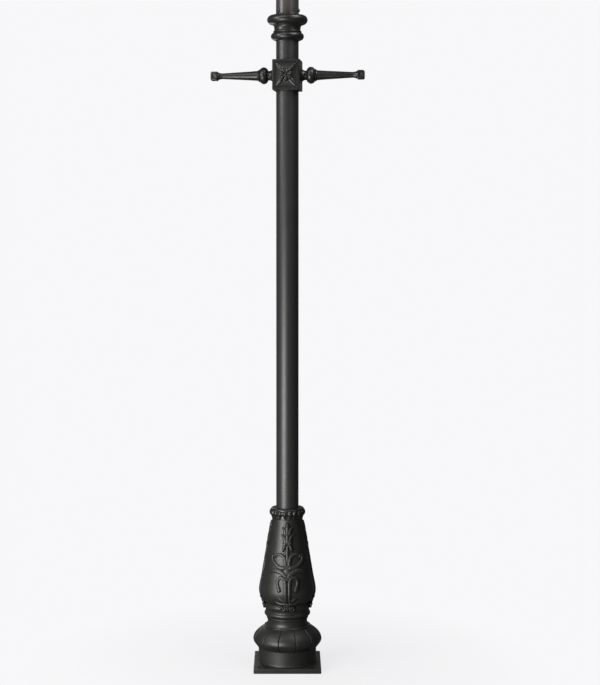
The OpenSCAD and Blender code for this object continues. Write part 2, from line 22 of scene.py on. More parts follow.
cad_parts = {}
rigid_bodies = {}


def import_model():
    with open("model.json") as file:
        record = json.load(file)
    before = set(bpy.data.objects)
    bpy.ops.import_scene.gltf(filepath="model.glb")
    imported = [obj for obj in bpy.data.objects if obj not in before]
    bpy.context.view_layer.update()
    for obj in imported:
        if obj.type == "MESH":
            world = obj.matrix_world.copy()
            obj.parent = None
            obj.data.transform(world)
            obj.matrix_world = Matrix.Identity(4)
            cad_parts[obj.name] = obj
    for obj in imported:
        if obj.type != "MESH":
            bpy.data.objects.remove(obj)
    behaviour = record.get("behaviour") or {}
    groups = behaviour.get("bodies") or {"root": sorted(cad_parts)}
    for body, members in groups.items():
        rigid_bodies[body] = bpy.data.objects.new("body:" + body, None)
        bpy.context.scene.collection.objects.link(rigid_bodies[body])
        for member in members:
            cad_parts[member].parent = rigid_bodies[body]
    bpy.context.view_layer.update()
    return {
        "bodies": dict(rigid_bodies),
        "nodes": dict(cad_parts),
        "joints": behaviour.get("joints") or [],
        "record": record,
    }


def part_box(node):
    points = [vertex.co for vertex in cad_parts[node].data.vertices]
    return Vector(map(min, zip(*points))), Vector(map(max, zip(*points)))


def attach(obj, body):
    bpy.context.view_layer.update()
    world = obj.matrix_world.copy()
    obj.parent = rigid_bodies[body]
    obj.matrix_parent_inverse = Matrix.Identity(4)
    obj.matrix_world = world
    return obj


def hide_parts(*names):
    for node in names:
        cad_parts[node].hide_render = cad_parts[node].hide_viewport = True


log = logging.getLogger("lamp_post")

MM = 0.001
WELD_MM = 0.002
COPY_WELD_MM = 0.01
SHARP_ANGLE = math.radians(38.0)

# A corner that turns by less than this stays as it is drawn, and a rounded one takes at most this
# share of the runs beside it.
SMALLEST_TURN = math.radians(24)
CORNER_SHARE = 0.3
CORNER_STEPS = (0, 0.33, 0.67, 1)

# Points between two given points of a smooth path, and points round a hole in the plate.
FLOW_STEPS = 16
HOLE_POINTS = 40

# The shortest rounding at the end of a strand, and the least squared size of its last section.
SHORTEST_TIP_MM = 0.6
SMALLEST_TIP = 0.004

Point = tuple[float, float]
Inset = Callable[[float], np.ndarray]


class Body(Enum):
    """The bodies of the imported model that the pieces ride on."""

    POST = "post"
    LADDER_REST = "ladder_rest"
    LANTERN_TUBE = "lantern_tube"


class Turn(Enum):
    """Which end of the ladder rest an arm belongs to."""

    RIGHT = 0.0
    LEFT = 180.0


def arc(r: float, z: float, size: float, start: float, end: float, steps: int = 12) -> list[Point]:
    """Points of an arc in an outline.

    Args:
        r: Radius of the arc's centre.
        z: Height of the arc's centre.
        size: Radius of the arc.
        start: Angle of the first point in degrees.
        end: Angle of the last point in degrees.
        steps: Number of chords.

    Returns:
        The points from start to end.
    """
    turns = [math.radians(start + (end - start) * i / steps) for i in range(steps + 1)]
    return [(r + size * math.cos(a), z + size * math.sin(a)) for a in turns]


def bow(p: Point, q: Point, s: Point, steps: int = 10) -> list[Point]:
    """Points of a quadratic curve.

    Args:
        p: First point.
        q: Point that the curve leaves towards.
        s: Last point.
        steps: Number of chords.

    Returns:
        The points from p to s.
    """
    shares = [i / steps for i in range(steps + 1)]
    return [
        tuple((1 - t) ** 2 * p[k] + 2 * t * (1 - t) * q[k] + t * t * s[k] for k in (0, 1))
        for t in shares
    ]


def softened(points: Sequence[Point], radius: float, closed: bool = True) -> np.ndarray:
    """Rounds the sharp corners of an outline.

    A support point on each side of a corner keeps the shading of long flat runs straight.

    Args:
        points: The outline.
        radius: Largest radius of a corner.
        closed: Whether the last point joins the first.

    Returns:
        An array of points, one row each.
    """
    kept: list[Point] = []
    for p in points:
        if not kept or math.dist(p, kept[-1]) > WELD_MM:
            kept.append(p)
    if closed and math.dist(kept[0], kept[-1]) < WELD_MM:
        kept.pop()
    corners = [np.array(p, float) for p in kept]
    last = len(corners) - 1
    out: list[np.ndarray] = []
    for i, here in enumerate(corners):
        if not closed and i in (0, last):
            out.append(here)
            continue
        back = corners[i - 1] - here
        ahead = corners[(i + 1) % len(corners)] - here
        back_len = np.linalg.norm(back)
        ahead_len = np.linalg.norm(ahead)
        straightness = -float(back @ ahead) / (back_len * ahead_len)
        if straightness > math.cos(SMALLEST_TURN):
            out.append(here)
            continue
        cut = min(radius, CORNER_SHARE * back_len, CORNER_SHARE * ahead_len)
        start = here + back / back_len * cut
        end = here + ahead / ahead_len * cut
        if back_len > 4 * cut:
            out.append(here + back / back_len * 2 * cut)
        for t in CORNER_STEPS:
            out.append((1 - t) ** 2 * start + 2 * t * (1 - t) * here + t * t * end)
        if ahead_len > 4 * cut:
            out.append(here + ahead / ahead_len * 2 * cut)
    return np.array(out)


def flow(points: Sequence[Point], stations: int) -> np.ndarray:
    """A smooth path through given points, evenly spaced along its length.

    Args:
        points: The points that the path passes through.
        stations: Number of points wanted.

    Returns:
        An array of points, one row each.
    """
    p = np.array(points, float)
    p = np.vstack([2 * p[0] - p[1], p, 2 * p[-1] - p[-2]])
    dense = []
    for i in range(1, len(p) - 2):
        t = np.linspace(0, 1, FLOW_STEPS, endpoint=False)[:, None]
        a, b, c, d = p[i - 1 : i + 3]
        bend = (2 * a - 5 * b + 4 * c - d) * t**2 + (3 * b - a - 3 * c + d) * t**3
        dense.append(0.5 * (2 * b + (c - a) * t + bend))
    line = np.vstack([*dense, p[-2:-1]])
    run = np.concatenate([[0], np.cumsum(np.linalg.norm(np.diff(line, axis=0), axis=1))])
    at = np.linspace(0, run[-1], stations)
    return np.stack([np.interp(at, run, line[:, k]) for k in range(line.shape[1])], 1)


def ring(radius: float, points: int = 32, corners: int = 0) -> np.ndarray:
    """A circle, or a regular polygon drawn with the same number of points.

    Args:
        radius: Radius, measured to the corners of a polygon.
        points: Number of points.
        corners: Number of corners, or none for a circle.

    Returns:
        An array of x, y rows.
    """
    turns = np.arange(points) / points * math.tau
    reach = np.full(points, radius, float)
    if corners:
        half = math.pi / corners
        reach = radius * math.cos(half) / np.cos(turns % (2 * half) - half)
    return np.stack([reach * np.cos(turns), reach * np.sin(turns)], 1)


class Shell:
    """Collects the vertices and faces of one mesh, in millimetres."""

    def __init__(self) -> None:
        """Starts an empty shell."""
        self.points: list[tuple[float, float, float]] = []
        self.faces: list[tuple[int, ...]] = []

    def skin(self, rings: np.ndarray, wrap: bool = False, caps: bool = False) -> Shell:
        """Joins a stack of rings of points with faces.

        Args:
            rings: Array of ring, point, coordinate.
            wrap: Whether the last ring joins the first.
            caps: Whether the first and last rings are closed with a fan.

        Returns:
            The shell itself.
        """
        count, points = rings.shape[:2]
        start = len(self.points)
        self.points.extend(map(tuple, rings.reshape(-1, 3).tolist()))
        rows = np.arange(count if wrap else count - 1)[:, None]
        columns = np.arange(points)[None, :]
        after = (rows + 1) % count
        beside = (columns + 1) % points
        corners = [
            rows * points + columns,
            after * points + columns,
            after * points + beside,
            rows * points + beside,
        ]
        self.faces.extend(map(tuple, (start + np.stack(corners, -1).reshape(-1, 4)).tolist()))
        if caps:
            for row, step in ((0, 1), (count - 1, -1)):
                hub = len(self.points)
                self.points.append(tuple(rings[row].mean(0).tolist()))
                rim = [start + row * points + i for i in range(points)][::step]
                self.faces.extend((hub, rim[i], rim[(i + 1) % points]) for i in range(points))
        return self

    def panel(self, loops: Sequence[np.ndarray]) -> Shell:
        """Fills a flat outline that may have holes.

        Args:
            loops: The outline and then its holes, each an array of point, coordinate.

        Returns:
            The shell itself.
        """
        start = len(self.points)
        for loop in loops:
            self.points.extend(map(tuple, loop.tolist()))
        triangles = tessellate_polygon([[Vector(p) for p in loop] for loop in loops])
        self.faces.extend(tuple(start + i for i in triangle) for triangle in triangles)
        return self

    def mesh(self, name: str) -> bpy.types.Mesh:
        """Makes the mesh, in metres.

        Args:
            name: Name of the mesh.

        Returns:
            The new mesh.
        """
        mesh = bpy.data.meshes.new(name)
        mesh.from_pydata((np.array(self.points) * MM).tolist(), [], self.faces)
        return mesh


def lathe(profile: np.ndarray, segments: int = 128) -> np.ndarray:
    """Rings of a closed outline turned all the way round the Z axis.

    Args:
        profile: Closed outline of radius, height rows.
        segments: Number of steps round the axis.

    Returns:
        Array of ring, point, coordinate, for Shell.skin with wrap.
    """
    return sector(profile, np.arange(segments) * 360 / segments)


def sector(profile: np.ndarray, angles: np.ndarray, shape: Callable | None = None) -> np.ndarray:
    """Rings of a closed outline swept through some angles round the Z axis.

    Args:
        profile: Closed outline of radius, height rows.
        angles: Angles from the front in degrees.
        shape: Function that takes the angle, radius and height grids and returns new radii and
            heights.

    Returns:
        Array of ring, point, coordinate.
    """
    turn = np.repeat(angles[:, None], len(profile), 1)
    r = np.repeat(profile[None, :, 0], len(angles), 0)
    z = np.repeat(profile[None, :, 1], len(angles), 0)
    if shape:
        r, z = shape(turn, r, z)
    a = np.radians(turn)
    return np.stack([r * np.sin(a), -r * np.cos(a), z], -1)


def level(loop: np.ndarray, z: float) -> np.ndarray:
    """A flat x, y loop at a height."""
    return np.column_stack([loop, np.full(len(loop), z)])


def stacked(levels: Sequence[tuple[float, np.ndarray]], place: Matrix) -> np.ndarray:
    """Rings of a piece that is stacked along its own Z axis, moved to its place.

    Args:
        levels: Height and x, y ring of each level.
        place: Where the piece's own axes go.

    Returns:
        Array of ring, point, coordinate.
    """
    flat = np.array([level(loop, z) for z, loop in levels])
    m = np.array(place)
    return flat @ m[:3, :3].T + m[:3, 3]


def bored(mesh: bpy.types.Mesh, hole: bpy.types.Mesh) -> bpy.types.Mesh:
    """Cuts one closed mesh out of another.

    Args:
        mesh: The mesh that is cut.
        hole: The mesh that is taken away.

    Returns:
        A new mesh without the hole's volume.
    """
    holders = []
    for part in (mesh, hole):
        shape = bmesh.new()
        shape.from_mesh(part)
        bmesh.ops.remove_doubles(shape, verts=shape.verts, dist=WELD_MM * MM)
        bmesh.ops.recalc_face_normals(shape, faces=shape.faces)
        shape.to_mesh(part)
        shape.free()
        holders.append(bpy.data.objects.new(part.name, part))
        bpy.context.scene.collection.objects.link(holders[-1])
    modifier = holders[0].modifiers.new("bore", "BOOLEAN")
    modifier.operation = "DIFFERENCE"
    modifier.solver = "EXACT"
    modifier.use_self = True
    modifier.object = holders[1]
    graph = bpy.context.evaluated_depsgraph_get()
    result = bpy.data.meshes.new_from_object(holders[0].evaluated_get(graph), depsgraph=graph)
    holders[0].modifiers.clear()
    for holder in holders:
        bpy.data.objects.remove(holder)
    return result


def pointing(direction: Vector, start: Vector) -> Matrix:
    """A place whose Z axis points along a direction from a start."""
    return Matrix.Translation(start) @ direction.to_track_quat("Z", "Y").to_matrix().to_4x4()


class Wire:
    """A node's socket that can be used in Python arithmetic.

    Each operator adds one Math node to the tree.
    """

    def __init__(self, graph: Graph, socket: bpy.types.NodeSocket) -> None:
        """Keeps the tree and the socket."""
        self.graph = graph
        self.socket = socket

    def _math(self, operation: str, first: object, second: object) -> Wire:
        """Adds a Math node over two values."""
        return self.graph.node("ShaderNodeMath", {"operation": operation}, {0: first, 1: second})

    def __add__(self, other: object) -> Wire:
        """This value plus another."""
        return self._math("ADD", self, other)

    __radd__ = __add__

    def __sub__(self, other: object) -> Wire:
        """This value minus another."""
        return self._math("SUBTRACT", self, other)

    def __rsub__(self, other: object) -> Wire:
        """Another value minus this one."""
        return self._math("SUBTRACT", other, self)

    def __mul__(self, other: object) -> Wire:
        """This value times another."""
        return self._math("MULTIPLY", self, other)

    __rmul__ = __mul__

    def __truediv__(self, other: object) -> Wire:
        """This value divided by another."""
        return self._math("DIVIDE", self, other)

    def at_least(self, other: object) -> Wire:
        """The larger of this value and another."""
        return self._math("MAXIMUM", self, other)

    def at_most(self, other: object) -> Wire:
        """The smaller of this value and another."""
        return self._math("MINIMUM", self, other)

    def between(self, low: float, high: float) -> Wire:
        """How far this value is from low to high, held to 0 and 1."""
        return ((self - low) / (high - low)).at_least(0.0).at_most(1.0)


class Graph:
    """Builds a node tree."""

    def __init__(self, tree: bpy.types.NodeTree) -> None:
        """Empties the tree and keeps it."""
        self.tree = tree
        tree.nodes.clear()

    def node(
        self,
        kind: str,
        settings: dict[str, object] | None = None,
        values: dict[str | int, object] | None = None,
        output: str | int = 0,
    ) -> Wire:
        """Adds a node of any type.

        Args:
            kind: Type of the node.
            settings: The node's own settings, set before its sockets.
            values: What goes into its sockets, as numbers, colours or wires.
            output: Name or place of the output that is returned.

        Returns:
            The wire of that output.
        """
        made = self.tree.nodes.new(kind)
        for name, value in (settings or {}).items():
            setattr(made, name, value)
        for name, value in (values or {}).items():
            if isinstance(value, Wire):
                self.tree.links.new(value.socket, made.inputs[name])
            else:
                made.inputs[name].default_value = value
        return Wire(self, made.outputs[output]) if len(made.outputs) else Wire(self, None)

    def noise(self, where: Wire, size: float, detail: float = 2.0, rough: float = 0.5) -> Wire:
        """A noise with features of a given size in metres, from 0 to 1."""
        values = {"Vector": where, "Scale": 1 / size, "Detail": detail, "Roughness": rough}
        return self.node("ShaderNodeTexNoise", {}, values)

    def blend(self, share: Wire, low: Sequence[float], high: Sequence[float]) -> Wire:
        """A colour between two others."""
        mix = {"Factor": share, 6: (*low, 1), 7: (*high, 1)}
        return self.node("ShaderNodeMix", {"data_type": "RGBA"}, mix, output=2)

    def bump(self, height: Wire) -> Wire:
        """A normal from a height in metres."""
        return self.node("ShaderNodeBump", {}, {"Height": height, "Distance": 1.0, "Strength": 1.0})


@dataclass(frozen=True)
class Finish:
    """What all finishes share.

    Attributes:
        name: Name of the material.
        slot: The record's material slot; not used.
        colour: Linear base colour.
        roughness: Mean roughness.
    """

    name: str
    slot: str
    colour: tuple[float, float, float]
    roughness: float

    def material(self) -> bpy.types.Material:
        """The finish's material, made on first use.

        Returns:
            The material.
        """
        made = bpy.data.materials.get(self.name)
        if made is None:
            made = bpy.data.materials.new(self.name)
            made.use_nodes = True
            graph = Graph(made.node_tree)
            where = graph.node("ShaderNodeTexCoord", output="Object")
            surface = graph.node("ShaderNodeBsdfPrincipled", {}, self.sockets(graph, where))
            graph.node("ShaderNodeOutputMaterial", {}, {"Surface": surface})
        return made

    def sockets(self, graph: Graph, where: Wire) -> dict[str, object]:
        """What goes into the shader's sockets.

        Args:
            graph: The material's graph.
            where: The place on the piece.

        Returns:
            Numbers and wires by the name of their socket.
        """
        raise NotImplementedError


@dataclass(frozen=True)
class PowderCoat(Finish):
    """Satin powder coat with orange peel, over smooth steel or a sand casting.

    Attributes:
        cast: Depth of the casting's hollows in metres, none on drawn steel.
        peel: Depth of the orange peel in metres.
        tint: Colour of the faint cloudy patches.
        patch_size: Size of the patches in metres, as are the next three.
        grain_size: Size of the powder's grain.
        peel_size: Size of the orange peel.
        hollow_size: Size of the casting's hollows.
        grain_depth: Depth of the grain as a share of the orange peel's.
        patch_gloss: How far the roughness wanders with the patches.
        grain_gloss: How far it wanders with the grain.
    """

    cast: float = 0.0
    peel: float = 0.00003
    tint: tuple[float, float, float] = (0.021, 0.021, 0.0193)
    patch_size: float = 0.05
    grain_size: float = 0.0007
    peel_size: float = 0.0016
    hollow_size: float = 0.007
    grain_depth: float = 0.4
    patch_gloss: float = 0.1
    grain_gloss: float = 0.08

    def sockets(self, graph: Graph, where: Wire) -> dict[str, object]:
        """Colour in faint patches, a roughness that wanders, and three scales of bump.

        Args:
            graph: The material's graph.
            where: The place on the piece.

        Returns:
            Numbers and wires by the name of their socket.
        """
        patches = graph.noise(where, self.patch_size, 3.0, 0.6)
        grain = graph.noise(where, self.grain_size, 2.0, 0.6)
        peel = graph.noise(where, self.peel_size, 1.0)
        hollows = graph.noise(where, self.hollow_size, 3.0, 0.55)
        share = patches.between(0.35, 0.75) * 0.8 + grain.between(0.5, 0.8) * 0.2
        gloss = (patches - 0.5) * self.patch_gloss + (grain - 0.5) * self.grain_gloss
        height = peel * self.peel + grain * (self.peel * self.grain_depth) + hollows * self.cast
        return {
            "Base Color": graph.blend(share, self.colour, self.tint),
            "Roughness": gloss + self.roughness,
            "Normal": graph.bump(height),
        }


@dataclass(frozen=True)
class BareMetal(Finish):
    """Plated or plain metal with a fine grain.

    Attributes:
        cloud_size: Size of the plating's clouds in metres.
        grain_size: Size of the grain in metres.
        grain_depth: Depth of the grain in metres.
        shade: How dark the clouds are.
        gloss: How far the roughness wanders with the clouds.
    """

    cloud_size: float = 0.006
    grain_size: float = 0.0004
    grain_depth: float = 0.000012
    shade: float = 0.72
    gloss: float = 0.2

    def sockets(self, graph: Graph, where: Wire) -> dict[str, object]:
        """Clouded plating with a fine random grain.

        Args:
            graph: The material's graph.
            where: The place on the piece.

        Returns:
            Numbers and wires by the name of their socket.
        """
        clouds = graph.noise(where, self.cloud_size, 3.0, 0.6)
        marks = graph.noise(where, self.grain_size, 2.0)
        darker = tuple(self.shade * c for c in self.colour)
        return {
            "Base Color": graph.blend(clouds.between(0.3, 0.7), darker, self.colour),
            "Metallic": 1.0,
            "Roughness": (clouds - 0.5) * self.gloss + self.roughness,
            "Normal": graph.bump(marks * self.grain_depth),
        }


@dataclass(frozen=True)
class MouldedRubber(Finish):
    """Black rubber with a matt moulded skin.

    Attributes:
        bloom_size: Size of the pale bloom's patches in metres.
        grain_size: Size of the grain in metres.
        grain_depth: Depth of the grain in metres.
        bloom: How much lighter the bloom is.
        gloss: How far the roughness wanders with the bloom.
    """

    bloom_size: float = 0.012
    grain_size: float = 0.0006
    grain_depth: float = 0.00003
    bloom: float = 1.7
    gloss: float = 0.15

    def sockets(self, graph: Graph, where: Wire) -> dict[str, object]:
        """A fine even grain under a faint bloom.

        Args:
            graph: The material's graph.
            where: The place on the piece.

        Returns:
            Numbers and wires by the name of their socket.
        """
        grain = graph.noise(where, self.grain_size, 2.0)
        patches = graph.noise(where, self.bloom_size, 2.0)
        lighter = tuple(self.bloom * c for c in self.colour)
        return {
            "Base Color": graph.blend(patches.between(0.4, 0.8), self.colour, lighter),
            "Roughness": (patches - 0.5) * self.gloss + self.roughness,
            "Normal": graph.bump(grain * self.grain_depth),
        }


PLATE_BLACK = PowderCoat("plate_powder_coat", "plate_black", (0.012, 0.012, 0.0112), 0.44)
CAST_BLACK = PowderCoat(
    "casting_powder_coat", "cast_black", (0.011, 0.011, 0.0101), 0.46, cast=0.00006
)
FITTING_BLACK = PowderCoat(
    "fitting_powder_coat", "cast_black", (0.009, 0.009, 0.0083), 0.36, peel=0.000012
)
TUBE_BLACK = PowderCoat("tube_powder_coat", "tube_black", (0.02, 0.02, 0.02), 0.42)
LANTERN_BLACK = PowderCoat(
    "lantern_tube_paint",
    "lantern_tube_black",
    (0.045, 0.041, 0.036),
    0.34,
    tint=(0.055, 0.05, 0.043),
)
ZINC = BareMetal("zinc_plating", "zinc", (0.6, 0.61, 0.63), 0.34)
BRASS = BareMetal("plain_brass", "brass", (0.7, 0.55, 0.26), 0.3)
RUBBER = MouldedRubber("moulded_rubber", "rubber", (0.022, 0.022, 0.022), 0.75)


class RoundRepeat:
    """A Geometry Nodes tree that repeats a mesh round the Z axis and welds the copies."""

    def __init__(self) -> None:
        """Builds the tree with its named inputs."""
        self.tree = bpy.data.node_groups.new("repeat_round_the_post", "GeometryNodeTree")
        face = self.tree.interface
        self.sockets = {}
        for name, kind in (
            ("Part", "NodeSocketGeometry"),
            ("Count", "NodeSocketInt"),
            ("First Angle", "NodeSocketFloat"),
            ("Weld Distance", "NodeSocketFloat"),
            ("Finish", "NodeSocketMaterial"),
        ):
            self.sockets[name] = face.new_socket(name, in_out="INPUT", socket_type=kind).identifier
        face.new_socket("Ring", in_out="OUTPUT", socket_type="NodeSocketGeometry")
        graph = Graph(self.tree)
        source = self.tree.nodes.new("NodeGroupInput")
        given = {name: Wire(graph, source.outputs[name]) for name in self.sockets}
        points = graph.node("GeometryNodePoints", {}, {"Count": given["Count"]})
        turn = graph.node("GeometryNodeInputIndex") * math.tau / given["Count"]
        spun = graph.node("ShaderNodeCombineXYZ", {}, {"Z": turn + given["First Angle"]})
        wanted = {"Points": points, "Instance": given["Part"], "Rotation": spun}
        copies = graph.node("GeometryNodeInstanceOnPoints", {}, wanted)
        real = graph.node("GeometryNodeRealizeInstances", {}, {"Geometry": copies})
        weld = {"Geometry": real, "Distance": given["Weld Distance"]}
        welded = graph.node("GeometryNodeMergeByDistance", {}, weld)
        dressed = {"Geometry": welded, "Material": given["Finish"]}
        finished = graph.node("GeometryNodeSetMaterial", {}, dressed)
        graph.node("NodeGroupOutput", {}, {"Ring": finished})

    def repeat(
        self,
        mesh: bpy.types.Mesh,
        count: int,
        first: float,
        finish: Finish,
    ) -> bpy.types.Mesh:
        """Repeats a mesh round the post.

        Args:
            mesh: The mesh of one sector or one fastener.
            count: Number of copies.
            first: Angle of the first copy in degrees.
            finish: Finish of the result.

        Returns:
            A plain mesh with all the copies.
        """
        holder = bpy.data.objects.new(mesh.name, mesh)
        bpy.context.scene.collection.objects.link(holder)
        modifier = holder.modifiers.new("repeat", "NODES")
        modifier.node_group = self.tree
        modifier[self.sockets["Count"]] = count
        modifier[self.sockets["First Angle"]] = math.radians(first)
        modifier[self.sockets["Weld Distance"]] = COPY_WELD_MM * MM
        modifier[self.sockets["Finish"]] = finish.material()
        graph = bpy.context.evaluated_depsgraph_get()
        result = bpy.data.meshes.new_from_object(holder.evaluated_get(graph), depsgraph=graph)
        holder.modifiers.clear()
        bpy.data.objects.remove(holder)
        return result


class Bench:
    """Turns shells into finished pieces of the frame."""

    def __init__(self, frame: dict) -> None:
        """Keeps the frame and builds the repeating tree."""
        self.frame = frame
        self.rounder = RoundRepeat()

    def span(self, node: str) -> tuple[np.ndarray, np.ndarray]:
        """Lowest and highest corner of a CAD node, in millimetres."""
        low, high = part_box(node)
        return np.array(low) / MM, np.array(high) / MM

    def joint(self, name: str) -> dict:
        """A joint of the frame by name."""
        return next(j for j in self.frame["joints"] if j["name"] == name)

    def settle(
        self,
        name: str,
        mesh: bpy.types.Mesh,
        finish: Finish,
        body: str,
        stands_for: Sequence[str],
    ) -> bpy.types.Object:
        """Welds and dresses a mesh and hands it to the frame.

        Args:
            name: Name of the piece.
            mesh: Its mesh, in metres.
            finish: Its finish.
            body: The body that it rides on.
            stands_for: The CAD nodes that it stands for.

        Returns:
            The piece.
        """
        shape = bmesh.new()
        shape.from_mesh(mesh)
        bmesh.ops.remove_doubles(shape, verts=shape.verts, dist=WELD_MM * MM)
        bmesh.ops.recalc_face_normals(shape, faces=shape.faces)
        open_edges = sum(1 for edge in shape.edges if len(edge.link_faces) != 2)
        shape.to_mesh(mesh)
        shape.free()
        mesh.polygons.foreach_set("use_smooth", [True] * len(mesh.polygons))
        mesh.set_sharp_from_angle(angle=SHARP_ANGLE)
        mesh.materials.clear()
        mesh.materials.append(finish.material())
        piece = bpy.data.objects.new(name, mesh)
        bpy.context.scene.collection.objects.link(piece)
        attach(piece, body)
        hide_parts(*stands_for)
        log.info("%s: %d faces, %d open edges", name, len(mesh.polygons), open_edges)
        return piece

    def single(
        self,
        name: str,
        shell: Shell,
        finish: Finish,
        body: str,
        *nodes: str,
    ) -> bpy.types.Object:
        """A piece that is made once."""
        return self.settle(name, shell.mesh(name), finish, body, nodes)

    def ringed(
        self,
        name: str,
        shell: Shell,
        count: int,
        first: float,
        finish: Finish,
        *nodes: str,
    ) -> bpy.types.Object:
        """A piece of the post that is repeated round its axis."""
        mesh = self.rounder.repeat(shell.mesh(name), count, first, finish)
        return self.settle(name, mesh, finish, Body.POST.value, nodes)

    def keep(self, node: str, finish: Finish) -> None:
        """Dresses a CAD node whose shape is right as it is.

        Args:
            node: The node's name.
            finish: Its finish.
        """
        piece = self.frame["nodes"][node]
        piece.data.materials.clear()
        piece.data.materials.append(finish.material())
        log.info("%s: kept from the frame", node)


@dataclass
class Fastener:
    """A screw or bolt along its own axis.

    Attributes:
        shank_r: Radius of the shank.
        shank: Length of the shank.
        head_r: Radius of the head, over the corners of a hexagon.
        head: Height of the head.
        hexagon: Whether the head is a hexagon.
        socket_r: Radius of the hexagon socket, none without one.
        socket: Depth of the socket.
        dome: How far the head's edge falls off.
        point: Chamfer at the shank's point.
        chamfer: Chamfer under the head.
        lead: Chamfer of the socket.
        points: Number of points round it.
    """

    shank_r: float
    shank: float
    head_r: float
    head: float
    hexagon: bool = False
    socket_r: float = 0.0
    socket: float = 0.0
    dome: float = 0.6
    point: float = 0.8
    chamfer: float = 0.3
    lead: float = 0.25
    points: int = 24

    def levels(self) -> list[tuple[float, np.ndarray]]:
        """Rings from the point of the shank up to the drive in the head.

        Returns:
            Height and x, y ring of each level.
        """
        corners = 6 if self.hexagon else 0
        edge = self.dome
        sizes = [
            (-self.shank, self.shank_r - self.point, 0),
            (-self.shank + self.point, self.shank_r, 0),
            (-0.02, self.shank_r, 0),
            (0.0, self.shank_r, 0),
            (0.0, self.head_r - self.chamfer, corners),
            (self.chamfer, self.head_r, corners),
            (self.head - edge, self.head_r, corners),
            (self.head - 0.3 * edge, self.head_r - 0.45 * edge, corners),
            (self.head, self.head_r - 1.4 * edge, 0),
        ]
        if self.socket_r:
            sizes.append((self.head, self.socket_r + self.lead, 6))
            sizes.append((self.head - self.lead, self.socket_r, 6))
            sizes.append((self.head - self.socket, self.socket_r, 6))
        return [(z, ring(r, self.points, sides)) for z, r, sides in sizes]

    def shell(self, place: Matrix) -> Shell:
        """The fastener at its place, head outwards."""
        return Shell().skin(stacked(self.levels(), place), caps=True)


